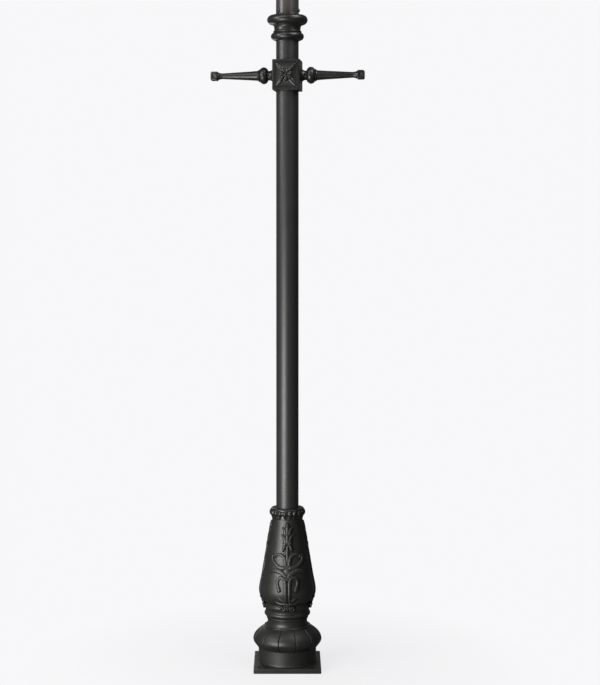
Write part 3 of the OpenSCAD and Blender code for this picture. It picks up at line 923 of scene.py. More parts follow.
@dataclass
class BasePlate:
    """Square steel plate with its anchor holes, its four screws and the cable grommet."""

    bench: Bench
    corner_r: float = 4.0
    anchor_pitch: float = 184.0
    anchor_r: float = 7.0
    edge: float = 1.4
    hole_edge: float = 0.7
    screw_pitch_r: float = 82.5
    screw_hole_r: float = 4.1
    screw_turns: tuple[float, ...] = (45, 135, 225, 315)
    sink_r: float = 8.2
    screw_head_r: float = 8.0
    screw_drive_r: float = 2.5
    screw_drive: float = 2.6
    cable_hole_r: float = 28.0
    grommet_bore_r: float = 22.0
    grommet_edge: float = 0.9
    clearance: float = 0.1

    def outline(self, inset: float) -> np.ndarray:
        """The plate's outline.

        Args:
            inset: How far it is drawn in.

        Returns:
            An array of x, y rows.
        """
        low, high = self.bench.span("base_plate")
        half = (high[0] - low[0]) / 2 - inset
        r = max(self.corner_r - inset, 0.5)
        points: list[Point] = []
        for sx, sy, start in ((1, 1, 0), (-1, 1, 90), (-1, -1, 180), (1, -1, 270)):
            bend = arc(0, 0, r, start, start + 90, 6)
            points += [(sx * (half - r) + x, sy * (half - r) + y) for x, y in bend]
        return np.array(points)

    def hole(self, centre: Point, radius: float) -> Inset:
        """A hole's outline as a function of how far it is widened."""
        return lambda wider: ring(radius + wider, HOLE_POINTS) + np.array(centre)

    def holes(self, top: float, under: float) -> list[tuple[Inset, np.ndarray]]:
        """The plate's outline and its holes, each with the section of its edge.

        Args:
            top: Height of the top face.
            under: Height of the underside.

        Returns:
            Functions that give an outline for an inset, and inset, height rows downwards.
        """

        def edges(radius: float) -> np.ndarray:
            """Inset and height of a rounded edge, from the top face to the underside."""
            reach = 4 * radius
            return softened([(reach, top), (0, top), (0, under), (reach, under)], radius, False)

        found = [(self.outline, edges(self.edge))]
        for sx in (-1, 1):
            for sy in (-1, 1):
                centre = (sx * self.anchor_pitch / 2, sy * self.anchor_pitch / 2)
                found.append((self.hole(centre, self.anchor_r), edges(self.hole_edge)))
        found.append((self.hole((0, 0), self.cable_hole_r), edges(self.hole_edge)))
        sink = self.sink_r - self.screw_hole_r
        sunk = [(2, top), (0, top), (0, under + sink), (sink, under), (sink + 2, under)]
        for turn in self.screw_turns:
            a = math.radians(turn)
            centre = (self.screw_pitch_r * math.cos(a), self.screw_pitch_r * math.sin(a))
            found.append((self.hole(centre, self.screw_hole_r), softened(sunk, 0.3, False)))
        return found

    def plate(self) -> Shell:
        """The plate, with softened edges and countersinks underneath.

        Returns:
            The closed shell.
        """
        low, high = self.bench.span("base_plate")
        shell = Shell()
        tops, unders = [], []
        for outline, profile in self.holes(high[2], low[2]):
            rings = [level(outline(inset), z) for inset, z in profile]
            shell.skin(np.array(rings))
            tops.append(rings[0])
            unders.append(rings[-1])
        return shell.panel(tops).panel(unders)

    def grommet(self) -> Shell:
        """The rubber grommet with its rounded lip.

        Returns:
            The closed shell.
        """
        low, high = self.bench.span("cable_grommet")
        top = self.bench.span("base_plate")[1][2]
        bore, body, lip = self.grommet_bore_r, self.cable_hole_r - self.clearance, high[0]
        outline = [(bore, low[2]), (body, low[2]), (body, top)]
        outline += [(lip, top), (lip, high[2]), (bore, high[2])]
        return Shell().skin(lathe(softened(outline, self.grommet_edge), 72), wrap=True)

    def screws(self) -> Shell:
        """One countersunk screw with a hexagon socket, head down.

        Returns:
            The closed shell.
        """
        low, high = self.bench.span("plate_screws")
        head, shank = self.screw_head_r, self.screw_hole_r - self.clearance
        flat = low[2]
        sizes = (
            (flat + self.screw_drive, self.screw_drive_r, 6),
            (flat, self.screw_drive_r, 6),
            (flat, head - 0.3, 0),
            (flat + 0.3, head - 0.05, 0),
            (flat + head - shank, shank, 0),
            (high[2] - 1, shank, 0),
            (high[2], shank - 1, 0),
        )
        levels = [(z, ring(r, 24, sides)) for z, r, sides in sizes]
        place = Matrix.Translation((self.screw_pitch_r, 0, 0))
        return Shell().skin(stacked(levels, place), caps=True)

    def build(self) -> None:
        """Makes the pieces of the base."""
        post = Body.POST.value
        self.bench.single("plate", self.plate(), PLATE_BLACK, post, "base_plate")
        self.bench.single("grommet", self.grommet(), RUBBER, post, "cable_grommet")
        self.bench.ringed("foot_to_plate_screws", self.screws(), 4, 45, ZINC, "plate_screws")


@dataclass
class Foot:
    """Cast foot: a plain drum, a bulge of twelve lobes and a neck."""

    bench: Bench
    lobes: int = 12
    drum_r: float = 98.5
    drum_h: float = 51.0
    bulge_h: float = 71.0
    belly_share: float = 0.35
    neck_r: float = 67.5
    rim_r: float = 77.5
    wall: float = 7.0
    flange_t: float = 11.0
    flange_r: float = 34.1
    groove_depth: float = 2.6
    groove_half: float = 1.3
    shoulder: float = 0.9
    shoulder_reach: float = 3.0
    lip_drop: float = 1.0
    lip_rise: float = 15.0
    lip_half: float = 9.0
    boss_r: float = 12.0
    boss_h: float = 30.0
    boss_pitch_r: float = 82.5
    bolt_pitch_r: float = 47.3
    bolt_head: float = 5.3
    steps: tuple[float, ...] = (0, 0.3, 0.6, 0.9, 1.3, 1.9, 2.8, 4.5, 7.5, 11, 15)

    def heights(self) -> tuple[float, float, float, float]:
        """Finds the heights that the casting is drawn between.

        Returns:
            Heights of the foot's underside, the drum's top, the rim and the foot's top.
        """
        low, high = self.bench.span("foot_casting")
        drum = low[2] + self.drum_h
        return low[2], drum, drum + self.bulge_h, high[2]

    def outside(self) -> list[Point]:
        """Outside of the wall: foot bead, drum, bulge, rim bead, cove and neck.

        Returns:
            Radius, height points, upwards.
        """
        foot, drum, rim, top = self.heights()
        wide = self.bench.span("foot_casting")[1][0]
        belly = drum + self.belly_share * self.bulge_h
        drum_r, rim_r, neck_r = self.drum_r, self.rim_r, self.neck_r
        points = [(drum_r + 1.5, foot), (drum_r + 1.5, foot + 2.5)]
        points += bow((drum_r + 1.3, foot + 3), (drum_r, foot + 3.6), (drum_r, foot + 6), 4)
        points += [(drum_r, drum), (drum_r + 4, drum + 1.5)]
        points += bow((drum_r + 4.5, drum + 2.5), (wide - 1.4, belly - 8), (wide, belly), 16)
        points += bow((wide, belly + 1), (wide, rim - 22), (rim_r + 1, rim - 0.8), 22)
        points += [(rim_r + 2, rim + 0.6), (rim_r + 1.8, rim + 2), (rim_r + 0.4, rim + 3.2)]
        points += [(rim_r - 1.4, rim + 3.4), (rim_r - 2.8, rim + 2.4)]
        points += bow((rim_r - 3.4, rim + 1.2), (neck_r + 1.5, rim + 2.6), (neck_r, rim + 14), 12)
        points += [(neck_r, top - 7), (neck_r + 1, top)]
        return points

    def profile(self) -> np.ndarray:
        """Closed outline of the wall, outside upwards and inside downwards.

        Returns:
            An array of radius, height rows.
        """
        foot, drum, rim, top = self.heights()
        belly = drum + self.belly_share * self.bulge_h
        inner = self.drum_r - self.wall
        hollow = self.bench.span("foot_casting")[1][0] - self.wall
        throat = self.neck_r - self.wall
        inside = [(self.flange_r, top), (self.flange_r, top - self.flange_t)]
        inside += [(throat, top - self.flange_t), (throat, rim + 2)]
        inside += bow((self.rim_r - 5, rim - 7), (hollow, rim - 24), (hollow, belly + 2), 10)
        inside += [(inner, drum + 2), (inner, foot)]
        return softened(self.outside() + inside, 0.8)

    def lobed(
        self,
        turn: np.ndarray,
        r: np.ndarray,
        z: np.ndarray,
    ) -> tuple[np.ndarray, np.ndarray]:
        """Cuts the grooves between the lobes, rounds their shoulders and drops their lips.

        Args:
            turn: Angles from the middle of the lobe in degrees.
            r: Radii of the wall.
            z: Heights of the wall.

        Returns:
            The new radii and heights.
        """
        _, drum, rim, _ = self.heights()
        half = 180 / self.lobes
        outside = r > self.rim_r - 1.2
        fade = np.clip((z - drum - 3) / 4, 0, 1) * np.clip((rim - z + 1.2) / 1.5, 0, 1) * outside
        apart = np.radians(half - np.abs(turn)) * r
        cut = self.groove_depth * np.clip(1 - apart / self.groove_half, 0, 1) ** 0.8
        round_off = self.shoulder * np.exp(-apart / self.shoulder_reach)
        crown = 1 - (np.abs(turn) / half) ** 2
        near = np.clip(1 - np.abs(z - drum - self.lip_rise) / self.lip_half, 0, 1)
        return r - fade * (cut + round_off), z - fade * (self.lip_drop * crown * near)

    def casting(self) -> Shell:
        """One lobe's sector of the wall.

        Returns:
            The open shell, which the repeat closes.
        """
        edge = 180 / self.lobes
        right = sorted({edge - s for s in self.steps} | {0.0})
        angles = np.array([-a for a in reversed(right)][:-1] + right)
        return Shell().skin(sector(self.profile(), angles, self.lobed))

    def bosses(self) -> Shell:
        """A screw boss inside the drum.

        Returns:
            The closed shell.
        """
        foot = self.heights()[0]
        levels = [
            (foot + 0.2, ring(self.boss_r, 28)),
            (foot + self.boss_h - 1, ring(self.boss_r, 28)),
            (foot + self.boss_h, ring(self.boss_r - 1, 28)),
        ]
        place = Matrix.Translation((self.boss_pitch_r, 0, 0))
        return Shell().skin(stacked(levels, place), caps=True)

    def bolts(self) -> Shell:
        """A foot bolt, head down under the flange.

        Returns:
            The closed shell.
        """
        low, high = self.bench.span("foot_bolts")
        under = low[2] + self.bolt_head
        bolt = Fastener(4.0, high[2] - under, 7.5, self.bolt_head, hexagon=True)
        turned_over = Matrix.Rotation(math.pi, 4, "X")
        return bolt.shell(Matrix.Translation((self.bolt_pitch_r, 0, under)) @ turned_over)

    def build(self) -> None:
        """Makes the foot and what is inside it."""
        self.bench.ringed("foot_shell", self.casting(), self.lobes, 0, CAST_BLACK, "foot_casting")
        self.bench.ringed("foot_screw_bosses", self.bosses(), 4, 45, CAST_BLACK, "foot_casting")
        self.bench.ringed("flange_bolts", self.bolts(), 4, 0, ZINC, "foot_bolts")
        self.bench.keep("foot_washers", ZINC)
        self.bench.keep("earth_screw", BRASS)


class Images(Enum):
    """Where a strand of the motif is drawn: on both sides of the centre line, or on it."""

    PAIR = (1.0, -1.0)
    MIDDLE = (1.0,)


@dataclass(frozen=True)
class Strand:
    """A raised strand of cast ornament that follows a path on a surface.

    Attributes:
        path: Points along and up the surface, root first.
        widths: Half widths, spread evenly from the root to the tip.
        heights: How far the strand stands proud, spread in the same way.
        ridge: 1 for a round back, more for a sharp ridge, less for a flat back.
        sink: How far the strand reaches into the surface.
        stations: Number of sections.
        sides: Number of points round a section.
        fullness: 1 for an elliptic section, less for one with steeper flanks.
        images: Where the strand is drawn in a motif.
    """

    path: tuple[Point, ...]
    widths: tuple[float, ...]
    heights: tuple[float, ...]
    ridge: float = 0.62
    sink: float = 2.0
    stations: int = 30
    sides: int = 16
    fullness: float = 0.9
    images: Images = Images.PAIR

    def rings(self, side: float = 1.0) -> np.ndarray:
        """Sections of the strand as along, up and proud.

        Args:
            side: -1 mirrors the strand to the left.

        Returns:
            Array of section, point, coordinate.
        """
        line = flow(self.path, self.stations)
        heading = np.gradient(line, axis=0)
        heading /= np.linalg.norm(heading, axis=1)[:, None]
        across = np.stack([-heading[:, 1], heading[:, 0]], 1)
        share = np.linspace(0, 1, self.stations)
        width = np.interp(share, np.linspace(0, 1, len(self.widths)), self.widths)
        proud = np.interp(share, np.linspace(0, 1, len(self.heights)), self.heights)
        length = np.linalg.norm(np.diff(line, axis=0), axis=1).sum()
        from_end = np.minimum(share, 1 - share) * length
        rounding = np.minimum(1, from_end / np.maximum(width, SHORTEST_TIP_MM))
        cap = np.sqrt(np.clip(1 - (1 - rounding) ** 2, SMALLEST_TIP, 1))
        turn = np.arange(self.sides) / self.sides * math.tau
        c, s = np.cos(turn), np.sin(turn)
        sideways = np.sign(c) * np.abs(c) ** self.fullness
        upward = np.where(s > 0, np.abs(s) ** self.ridge, 0)
        downward = np.where(s < 0, -np.abs(s), 0)
        reach = (width * cap)[:, None]
        u = line[:, 0:1] + across[:, 0:1] * reach * sideways
        v = line[:, 1:2] + across[:, 1:2] * reach * sideways
        h = (proud * cap)[:, None] * upward + self.sink * cap[:, None] * downward
        return np.stack([side * u, v, h], -1)


@dataclass
class VaseSkin:
    """The surface that the vase's ornament lies on.

    Attributes:
        profile: Radius, height rows of the surface, upwards.
        relief: Share of its full height that the ornament stands proud.
    """

    profile: np.ndarray
    relief: float = 1.0

    def radius(self, z: np.ndarray) -> np.ndarray:
        """Radius of the surface at some heights."""
        return np.interp(z, self.profile[:, 1], self.profile[:, 0])

    def along(self, points: Sequence[Point]) -> tuple[Point, ...]:
        """Turns angle, height points into lengths along and up the surface."""
        return tuple((math.radians(a) * float(self.radius(np.array(z))), z) for a, z in points)

    def place(self, rings: np.ndarray) -> np.ndarray:
        """Puts sections on the surface.

        Args:
            rings: Array of section, point, and along, up and proud.

        Returns:
            Array of section, point, coordinate.
        """
        u, z, h = rings[..., 0], rings[..., 1], rings[..., 2]
        h = np.where(h > 0, h * self.relief, h)
        base = self.radius(z)
        slope = (self.radius(z + 1) - self.radius(z - 1)) / 2
        lean = 1 / np.sqrt(1 + slope**2)
        r = base + h * lean
        a = u / base
        return np.stack([r * np.sin(a), -r * np.cos(a), z - h * slope * lean], -1)


def coil(
    eye: Point = (12.0, -9.0),
    reach: float = 9.6,
    mm_per_degree: float = 1.42,
) -> tuple[Point, ...]:
    """Path of a scroll that leaves the foot of the stems and winds into its eye.

    Args:
        eye: Angle and height of the eye.
        reach: Distance of the first winding from the eye.
        mm_per_degree: Length of a degree on the mouldings under the scroll.

    Returns:
        Angle, height points, root first.
    """
    points = [(eye[0] - 9, eye[1] + 19), (eye[0] - 7.8, eye[1] + 12)]
    for i in range(10):
        turn = math.radians(150 + 48 * i)
        near = reach - 0.86 * i
        across = near / mm_per_degree * math.cos(turn)
        points.append((eye[0] + across, eye[1] + near * math.sin(turn)))
    return tuple(points)


# The motif's paths are angles from its centre line and heights above the body's foot.
PETAL = Strand((), (6.4, 7.4, 6.8, 5.2, 1.2), (6.4, 7.8, 7.8, 7.2, 5.4), ridge=0.66, stations=28)
HEART = Strand((), (5, 8.4, 7.6, 0.8), (7.4, 9.2, 9, 6), 1, stations=28, images=Images.MIDDLE)
FLOWER = (
    replace(PETAL, path=((4.6, 232), (6.4, 244), (9.6, 254), (17.8, 263.5))),
    replace(PETAL, path=((4.6, 202), (6.4, 217), (10, 229), (20.2, 240.5))),
    replace(PETAL, path=((3.6, 199), (5.4, 204), (8.4, 208.5), (14, 213.5))),
    replace(HEART, path=((0, 236), (0, 258), (0, 280))),
    replace(HEART, path=((0, 203), (0, 227.5), (0, 252))),
)

# The stem under the flower, its two drooping leaves and the boss where the branches meet.
STEM = (
    Strand(
        ((0, 206), (0, 180), (0, 150), (0, 126)),
        widths=(4, 5.5, 5.5, 8), heights=(4.6, 5, 4.8, 4), images=Images.MIDDLE,
    ),
    Strand(
        ((2, 204), (6.5, 201.5), (10.4, 194), (12.6, 181)),
        widths=(4.4, 5.6, 5.2, 2), heights=(6, 7.4, 7, 5), ridge=0.7, stations=24,
    ),
    Strand(
        ((0, 156), (0, 134), (0, 108), (0, 84)),
        widths=(9, 13.5, 12.5, 8.5), heights=(4, 4.6, 4.2, 4), ridge=0.6, images=Images.MIDDLE,
    ),
)

# The two strands of a loop, the ball in it and the branch under it.
VOLUTES = (
    Strand(
        ((1, 131), (12, 129), (23.5, 133), (34, 144), (41.5, 155), (42.5, 165.5), (39, 172.5)),
        widths=(8, 7.4, 6.8, 6, 4.4), heights=(5.4, 6, 6, 5.6, 4.8), stations=48,
    ),
    Strand(
        ((3.5, 132), (5.4, 150), (8.5, 163), (16.4, 171.5), (27, 172.5), (35, 168)),
        widths=(5.6, 6, 6, 5.4, 4.6), heights=(5.2, 5.8, 5.8, 5.4, 4.8), stations=48,
    ),
    Strand(
        ((29.8, 166), (34.4, 166.5), (39, 167)),
        widths=(6, 6, 6), heights=(7, 7, 7), ridge=0.9, stations=18,
    ),
    Strand(
        (
            (0.5, 93), (4, 102.5), (10.7, 110.5), (20.4, 117.5),
            (32.2, 118.5), (40.5, 114.5), (45, 108),
        ),
        widths=(8, 9, 8.4, 6.8, 4), heights=(5, 6, 6, 5.6, 4.2), stations=48,
    ),
)

# The paired stems that rise from the foot and turn over into a bulb.
TENDRILS = (
    Strand(
        (
            (3.9, 12), (4.1, 59), (4.3, 79), (6.8, 90), (12, 96.5), (18.3, 95.5), (22.4, 86),
            (21.7, 73), (19, 62), (17.6, 54), (15.6, 48.5),
        ),
        widths=(5.4, 5.4, 5.6, 5.8, 5.8, 5.6, 5.6, 7.8),
        heights=(5.6, 5.6, 5.8, 5.8, 5.6, 5.4, 5.6, 6.8), stations=88,
    ),
)

# The leaves at the foot of the stems, and the scrolls and tongue that hang over the mouldings.
SCROLLS = (
    Strand(
        ((1, 20), (7, 18), (13, 21.5), (21, 32)),
        widths=(5, 6, 4.4, 0.8), heights=(4.6, 5.2, 4.2, 1.6), ridge=1.2, stations=28,
    ),
    Strand(
        ((2, 10), (10, 7), (19, 8.5), (28, 15)),
        widths=(5, 6, 4.6, 0.8), heights=(4.6, 5.2, 4.2, 1.6), ridge=1.2, stations=28,
    ),
    Strand(
        coil(), widths=(5.4, 4.6, 4, 3.4, 3), heights=(3.8, 3.4, 4, 5.4, 6.8), sink=3.5, stations=64
    ),
    Strand(
        ((0, 12), (0, 0), (0, -10), (0, -22)),
        widths=(5, 7, 6, 1), heights=(3.6, 4.4, 4.2, 2), ridge=1.2, sink=3.5, images=Images.MIDDLE,
    ),
)

# The plain stem of the sides, where the whole motif has its branches and tendrils.
SIDE_STEM = (
    Strand(
        ((0, 96), (0, 60), (0, 14)),
        widths=(8, 6, 6, 7), heights=(4, 4.6, 4.6, 4.6), stations=60, images=Images.MIDDLE,
    ),
)


@dataclass
class Vase:
    """Cast vase with its mouldings and a traditional foliage relief.

    The whole motif is on the front and the back. A slender and flatter one is on each side.
    """

    bench: Bench
    wall: float = 7.0
    flange_t: float = 15.0
    flange_r: float = 34.1
    moulding_h: float = 59.0
    body_h: float = 287.0
    body_r: float = 93.5
    widest_h: float = 40.0
    neck_r: float = 67.5
    bead_r: float = 78.5
    ring_r: float = 80.5
    top_r: float = 52.0
    spigot_r: float = 46.0
    bore_r: float = 38.3
    socket_z: float = 405.0
    side_flower_relief: float = 0.6
    side_stem_relief: float = 0.85
    segments: int = 160

    def __post_init__(self) -> None:
        """Reads the vase's place from the frame."""
        low, high = self.bench.span("vase_casting")
        self.foot_z = low[2]
        self.top_z = high[2]
        self.body_z = self.foot_z + self.moulding_h
        self.shoulder_z = self.body_z + self.body_h

    def side(self) -> list[Point]:
        """Outside of the vase body.

        Returns:
            Radius, height points, upwards.
        """
        r, z = self.body_r, self.body_z
        widest = z + self.widest_h
        points = bow((self.ring_r - 3.5, z), (r - 1, z + 14), (r, widest), 18)
        points += bow((r, widest + 1), (r, widest + 12), (r - 5, widest + 35), 10)
        points += [(self.top_r + 0.8, self.shoulder_z - 12)]
        return points

    def body(self) -> Shell:
        """The vase body with its spigot, socket and cavity.

        Returns:
            The closed shell.
        """
        r, z = self.body_r - self.wall, self.body_z
        roof = self.socket_z - self.wall
        low_r = self.neck_r - self.wall + 1
        outline = self.side() + [
            (self.top_r, self.shoulder_z),
            (self.spigot_r, self.shoulder_z),
            (self.spigot_r, self.top_z),
            (self.bore_r, self.top_z),
            (self.bore_r, self.socket_z),
            (self.flange_r, self.socket_z),
            (self.flange_r, roof),
            (self.flange_r + 27, roof - 14),
        ]
        outline += bow((r - 5, z + 75), (r, z + 50), (r, z + 38), 8)
        outline += [(low_r + 10, z)]
        return Shell().skin(lathe(softened(outline, 0.8), self.segments), wrap=True)

    def mouldings(self) -> Shell:
        """The turned mouldings under the vase body, with the flange inside.

        Returns:
            The closed shell.
        """
        z = self.foot_z
        neck, bead, band = self.neck_r, self.bead_r, self.ring_r
        outline = [(neck + 1, z)]
        outline += arc(neck - 0.5, z + 5, 4.2, -62, 62, 8)
        outline += [(neck + 3, z + 10)]
        outline += arc(bead - 8.5, z + 19.5, 8.5, -72, 58, 14)
        outline += bow((bead - 4, z + 27.6), (bead - 4.6, z + 31), (bead - 3.6, z + 34), 6)
        outline += arc(band - 11.5, z + 46.5, 11.5, -56, 54, 14)
        outline += [(band - 4, self.body_z - 1.5), (band - 3.5, self.body_z)]
        low_r = neck - self.wall + 1
        floor = z + self.flange_t
        outline += [(low_r + 10, self.body_z), (low_r, floor), (self.flange_r, floor)]
        outline += [(self.flange_r, z)]
        return Shell().skin(lathe(softened(outline, 0.6), self.segments), wrap=True)

    def skin(self, relief: float) -> VaseSkin:
        """The surface under the ornament, bridging the mouldings under the body.

        Args:
            relief: Share of its full height that the ornament stands proud.

        Returns:
            The surface.
        """
        r = self.ring_r
        below = [(r - 3, -26), (r, -16), (r + 1, -4), (r + 3, 3)]
        bridge = [(reach, self.body_z + z) for reach, z in below]
        upper = [p for p in self.side() if p[1] > self.body_z + 9]
        return VaseSkin(np.array(bridge + upper), relief)

    def carve(self, shell: Shell, strands: Sequence[Strand], relief: float = 1.0) -> None:
        """Adds strands of the motif to a shell.

        Args:
            shell: The shell that takes them.
            strands: The strands, with paths in angles and heights above the body's foot.
            relief: Share of their full height that they stand proud.
        """
        skin = self.skin(relief)
        for strand in strands:
            raised = [(a, self.body_z + z) for a, z in strand.path]
            laid = replace(strand, path=skin.along(raised))
            for side in strand.images.value:
                shell.skin(skin.place(laid.rings(side)), caps=True)

    def whole_motif(self) -> Shell:
        """The motif of the front and the back, centred on the front.

        Returns:
            The shell of its strands.
        """
        shell = Shell()
        for strands in (FLOWER, STEM, VOLUTES, TENDRILS, SCROLLS):
            self.carve(shell, strands)
        return shell

    def slender_motif(self) -> Shell:
        """The motif of the sides, with a plain stem instead of loops and branches.

        Returns:
            The shell of its strands.
        """
        shell = Shell()
        self.carve(shell, FLOWER, self.side_flower_relief)
        self.carve(shell, STEM + SIDE_STEM, self.side_stem_relief)
        self.carve(shell, SCROLLS)
        return shell

    def build(self) -> None:
        """Makes the pieces of the vase."""
        post, node = Body.POST.value, "vase_casting"
        self.bench.single("vase_body", self.body(), CAST_BLACK, post, node)
        self.bench.single("vase_mouldings", self.mouldings(), CAST_BLACK, post, node)
        self.bench.ringed("vase_relief", self.whole_motif(), 2, 0, CAST_BLACK, node)
        self.bench.ringed("vase_side_relief", self.slender_motif(), 2, 90, CAST_BLACK, node)


@dataclass
class BeadedCollar:
    """Cast collar with a row of tall beads over the top of the vase."""

    bench: Bench
    beads: int = 20
    spigot_r: float = 46.2
    tube_r: float = 38.3
    roof_drop: float = 4.8
    foot_r: float = 52.0
    core_r: float = 46.5
    core_size: float = 11.2
    bead_proud: float = 10.0
    bead_wide: float = 8.9
    bead_tall: float = 11.0
    bead_rise: float = 21.0
    columns: int = 17

    def profile(self) -> np.ndarray:
        """Closed outline of the collar between two beads.

        Returns:
            An array of radius, height rows.
        """
        low, high = self.bench.span("bead_collar")
        foot, top = low[2], high[2]
        middle = foot + self.bead_rise
        ledge = self.foot_r + 1.5
        outline = [(self.foot_r, foot), (ledge, foot + 1), (ledge, foot + 3)]
        outline += arc(self.core_r, middle, self.core_size, -52, 40, 20)
        lip = self.core_r + 10.8
        outline += bow((lip - 0.6, middle + 7.6), (lip + 0.6, top - 0.6), (lip - 6, top), 8)
        roof = top - self.roof_drop
        outline += [(self.tube_r, top), (self.tube_r, roof)]
        outline += [(self.spigot_r, roof), (self.spigot_r, foot)]
        return softened(outline, 0.5)

    def casting(self) -> Shell:
        """The sector of one bead.

        Returns:
            The open shell, which the repeat closes.
        """
        low, high = self.bench.span("bead_collar")
        middle = low[2] + self.bead_rise
        centre = high[0] - self.bead_proud

        def beaded(turn: np.ndarray, r: np.ndarray, z: np.ndarray) -> tuple[np.ndarray, np.ndarray]:
            """Raises the bead out of the collar.

            Args:
                turn: Angles from the front.
                r: Radii of the outline.
                z: Heights of the outline.

            Returns:
                The new radii, and the heights as they were.
            """
            sideways = np.radians(turn) * (centre + 5) / self.bead_wide
            upward = (z - middle) / self.bead_tall
            room = np.clip(1 - sideways**2 - upward**2, 0, 1)
            bead = np.where(room > 0, centre + self.bead_proud * np.sqrt(room), 0)
            return np.where(r > self.foot_r, np.maximum(r, bead), r), z

        half = 180 / self.beads
        angles = np.sin(np.linspace(-math.pi / 2, math.pi / 2, self.columns)) * half
        return Shell().skin(sector(self.profile(), angles, beaded))

    def build(self) -> None:
        """Makes the collar."""
        first, node = 180 / self.beads, "bead_collar"
        self.bench.ringed("beaded_collar", self.casting(), self.beads, first, FITTING_BLACK, node)


@dataclass
class PostTube:
    """The long steel tube and the fixings that hold it."""

    bench: Bench
    wall: float = 3.0
    edge: float = 0.6

    def tube(self) -> Shell:
        """The tube, with deburred ends.

        Returns:
            The closed shell.
        """
        low, high = self.bench.span("post_tube")
        r = high[0]
        outline = [(r, low[2]), (r, high[2]), (r - self.wall, high[2]), (r - self.wall, low[2])]
        return Shell().skin(lathe(softened(outline, self.edge), 144), wrap=True)

    def build(self) -> None:
        """Makes the tube and dresses what is hidden round it."""
        self.bench.single("long_tube", self.tube(), TUBE_BLACK, Body.POST.value, "post_tube")
        for node in ("post_screws", "inner_sleeve", "sleeve_screws", "collar_screw"):
            self.bench.keep(node, ZINC)


@dataclass
class PanelSkin:
    """A panel of the ladder box as a surface for its ornament.

    Attributes:
        face: Depth of the panel's foot from the post's axis.
        middle: Height of the panel's centre.
        half_w: Half the pyramid's width.
        half_h: Half the pyramid's height.
        rise: How far the pyramid's top stands out.
        hollow: 1 for flat faces, more for hollowed ones.
    """

    face: float
    middle: float
    half_w: float
    half_h: float
    rise: float
    hollow: float = 1.8

    def depth(self, x: np.ndarray, z: np.ndarray) -> np.ndarray:
        """How far the pyramid with its hollowed faces stands out at a place on the panel."""
        share = np.maximum(np.abs(x) / self.half_w, np.abs(z) / self.half_h)
        return self.rise * np.clip(1 - share, 0, 1) ** self.hollow

    def place(self, rings: np.ndarray) -> np.ndarray:
        """Puts sections of across, up and proud on the panel."""
        x, z, h = rings[..., 0], rings[..., 1], rings[..., 2]
        return np.stack([x, -(self.face + self.depth(x, z) + h), self.middle + z], -1)


# Half widths of the leaves, by the corner of the panel that each one points to.
LEAF_WIDTHS = {
    (1, 1): (6, 7.4, 5, 2),
    (-1, 1): (6, 8, 5.8, 2.2),
    (-1, -1): (6, 7, 4.8, 2),
    (1, -1): (6, 8.6, 6.8, 2.4),
}
LEAF = Strand((), (), (4, 4.6, 3.4, 1.6), ridge=0.8, sink=3, stations=26)
ROSETTE_PETAL = Strand((), (3, 5.6, 7.8, 6), (2.6, 4.6, 7, 7.4), ridge=0.75, sink=4, stations=22)
ROSETTE_HEART = Strand(((-5, 0), (0, 0), (5, 0)), (5, 5, 5), (3.6, 3.6, 3.6), stations=16)


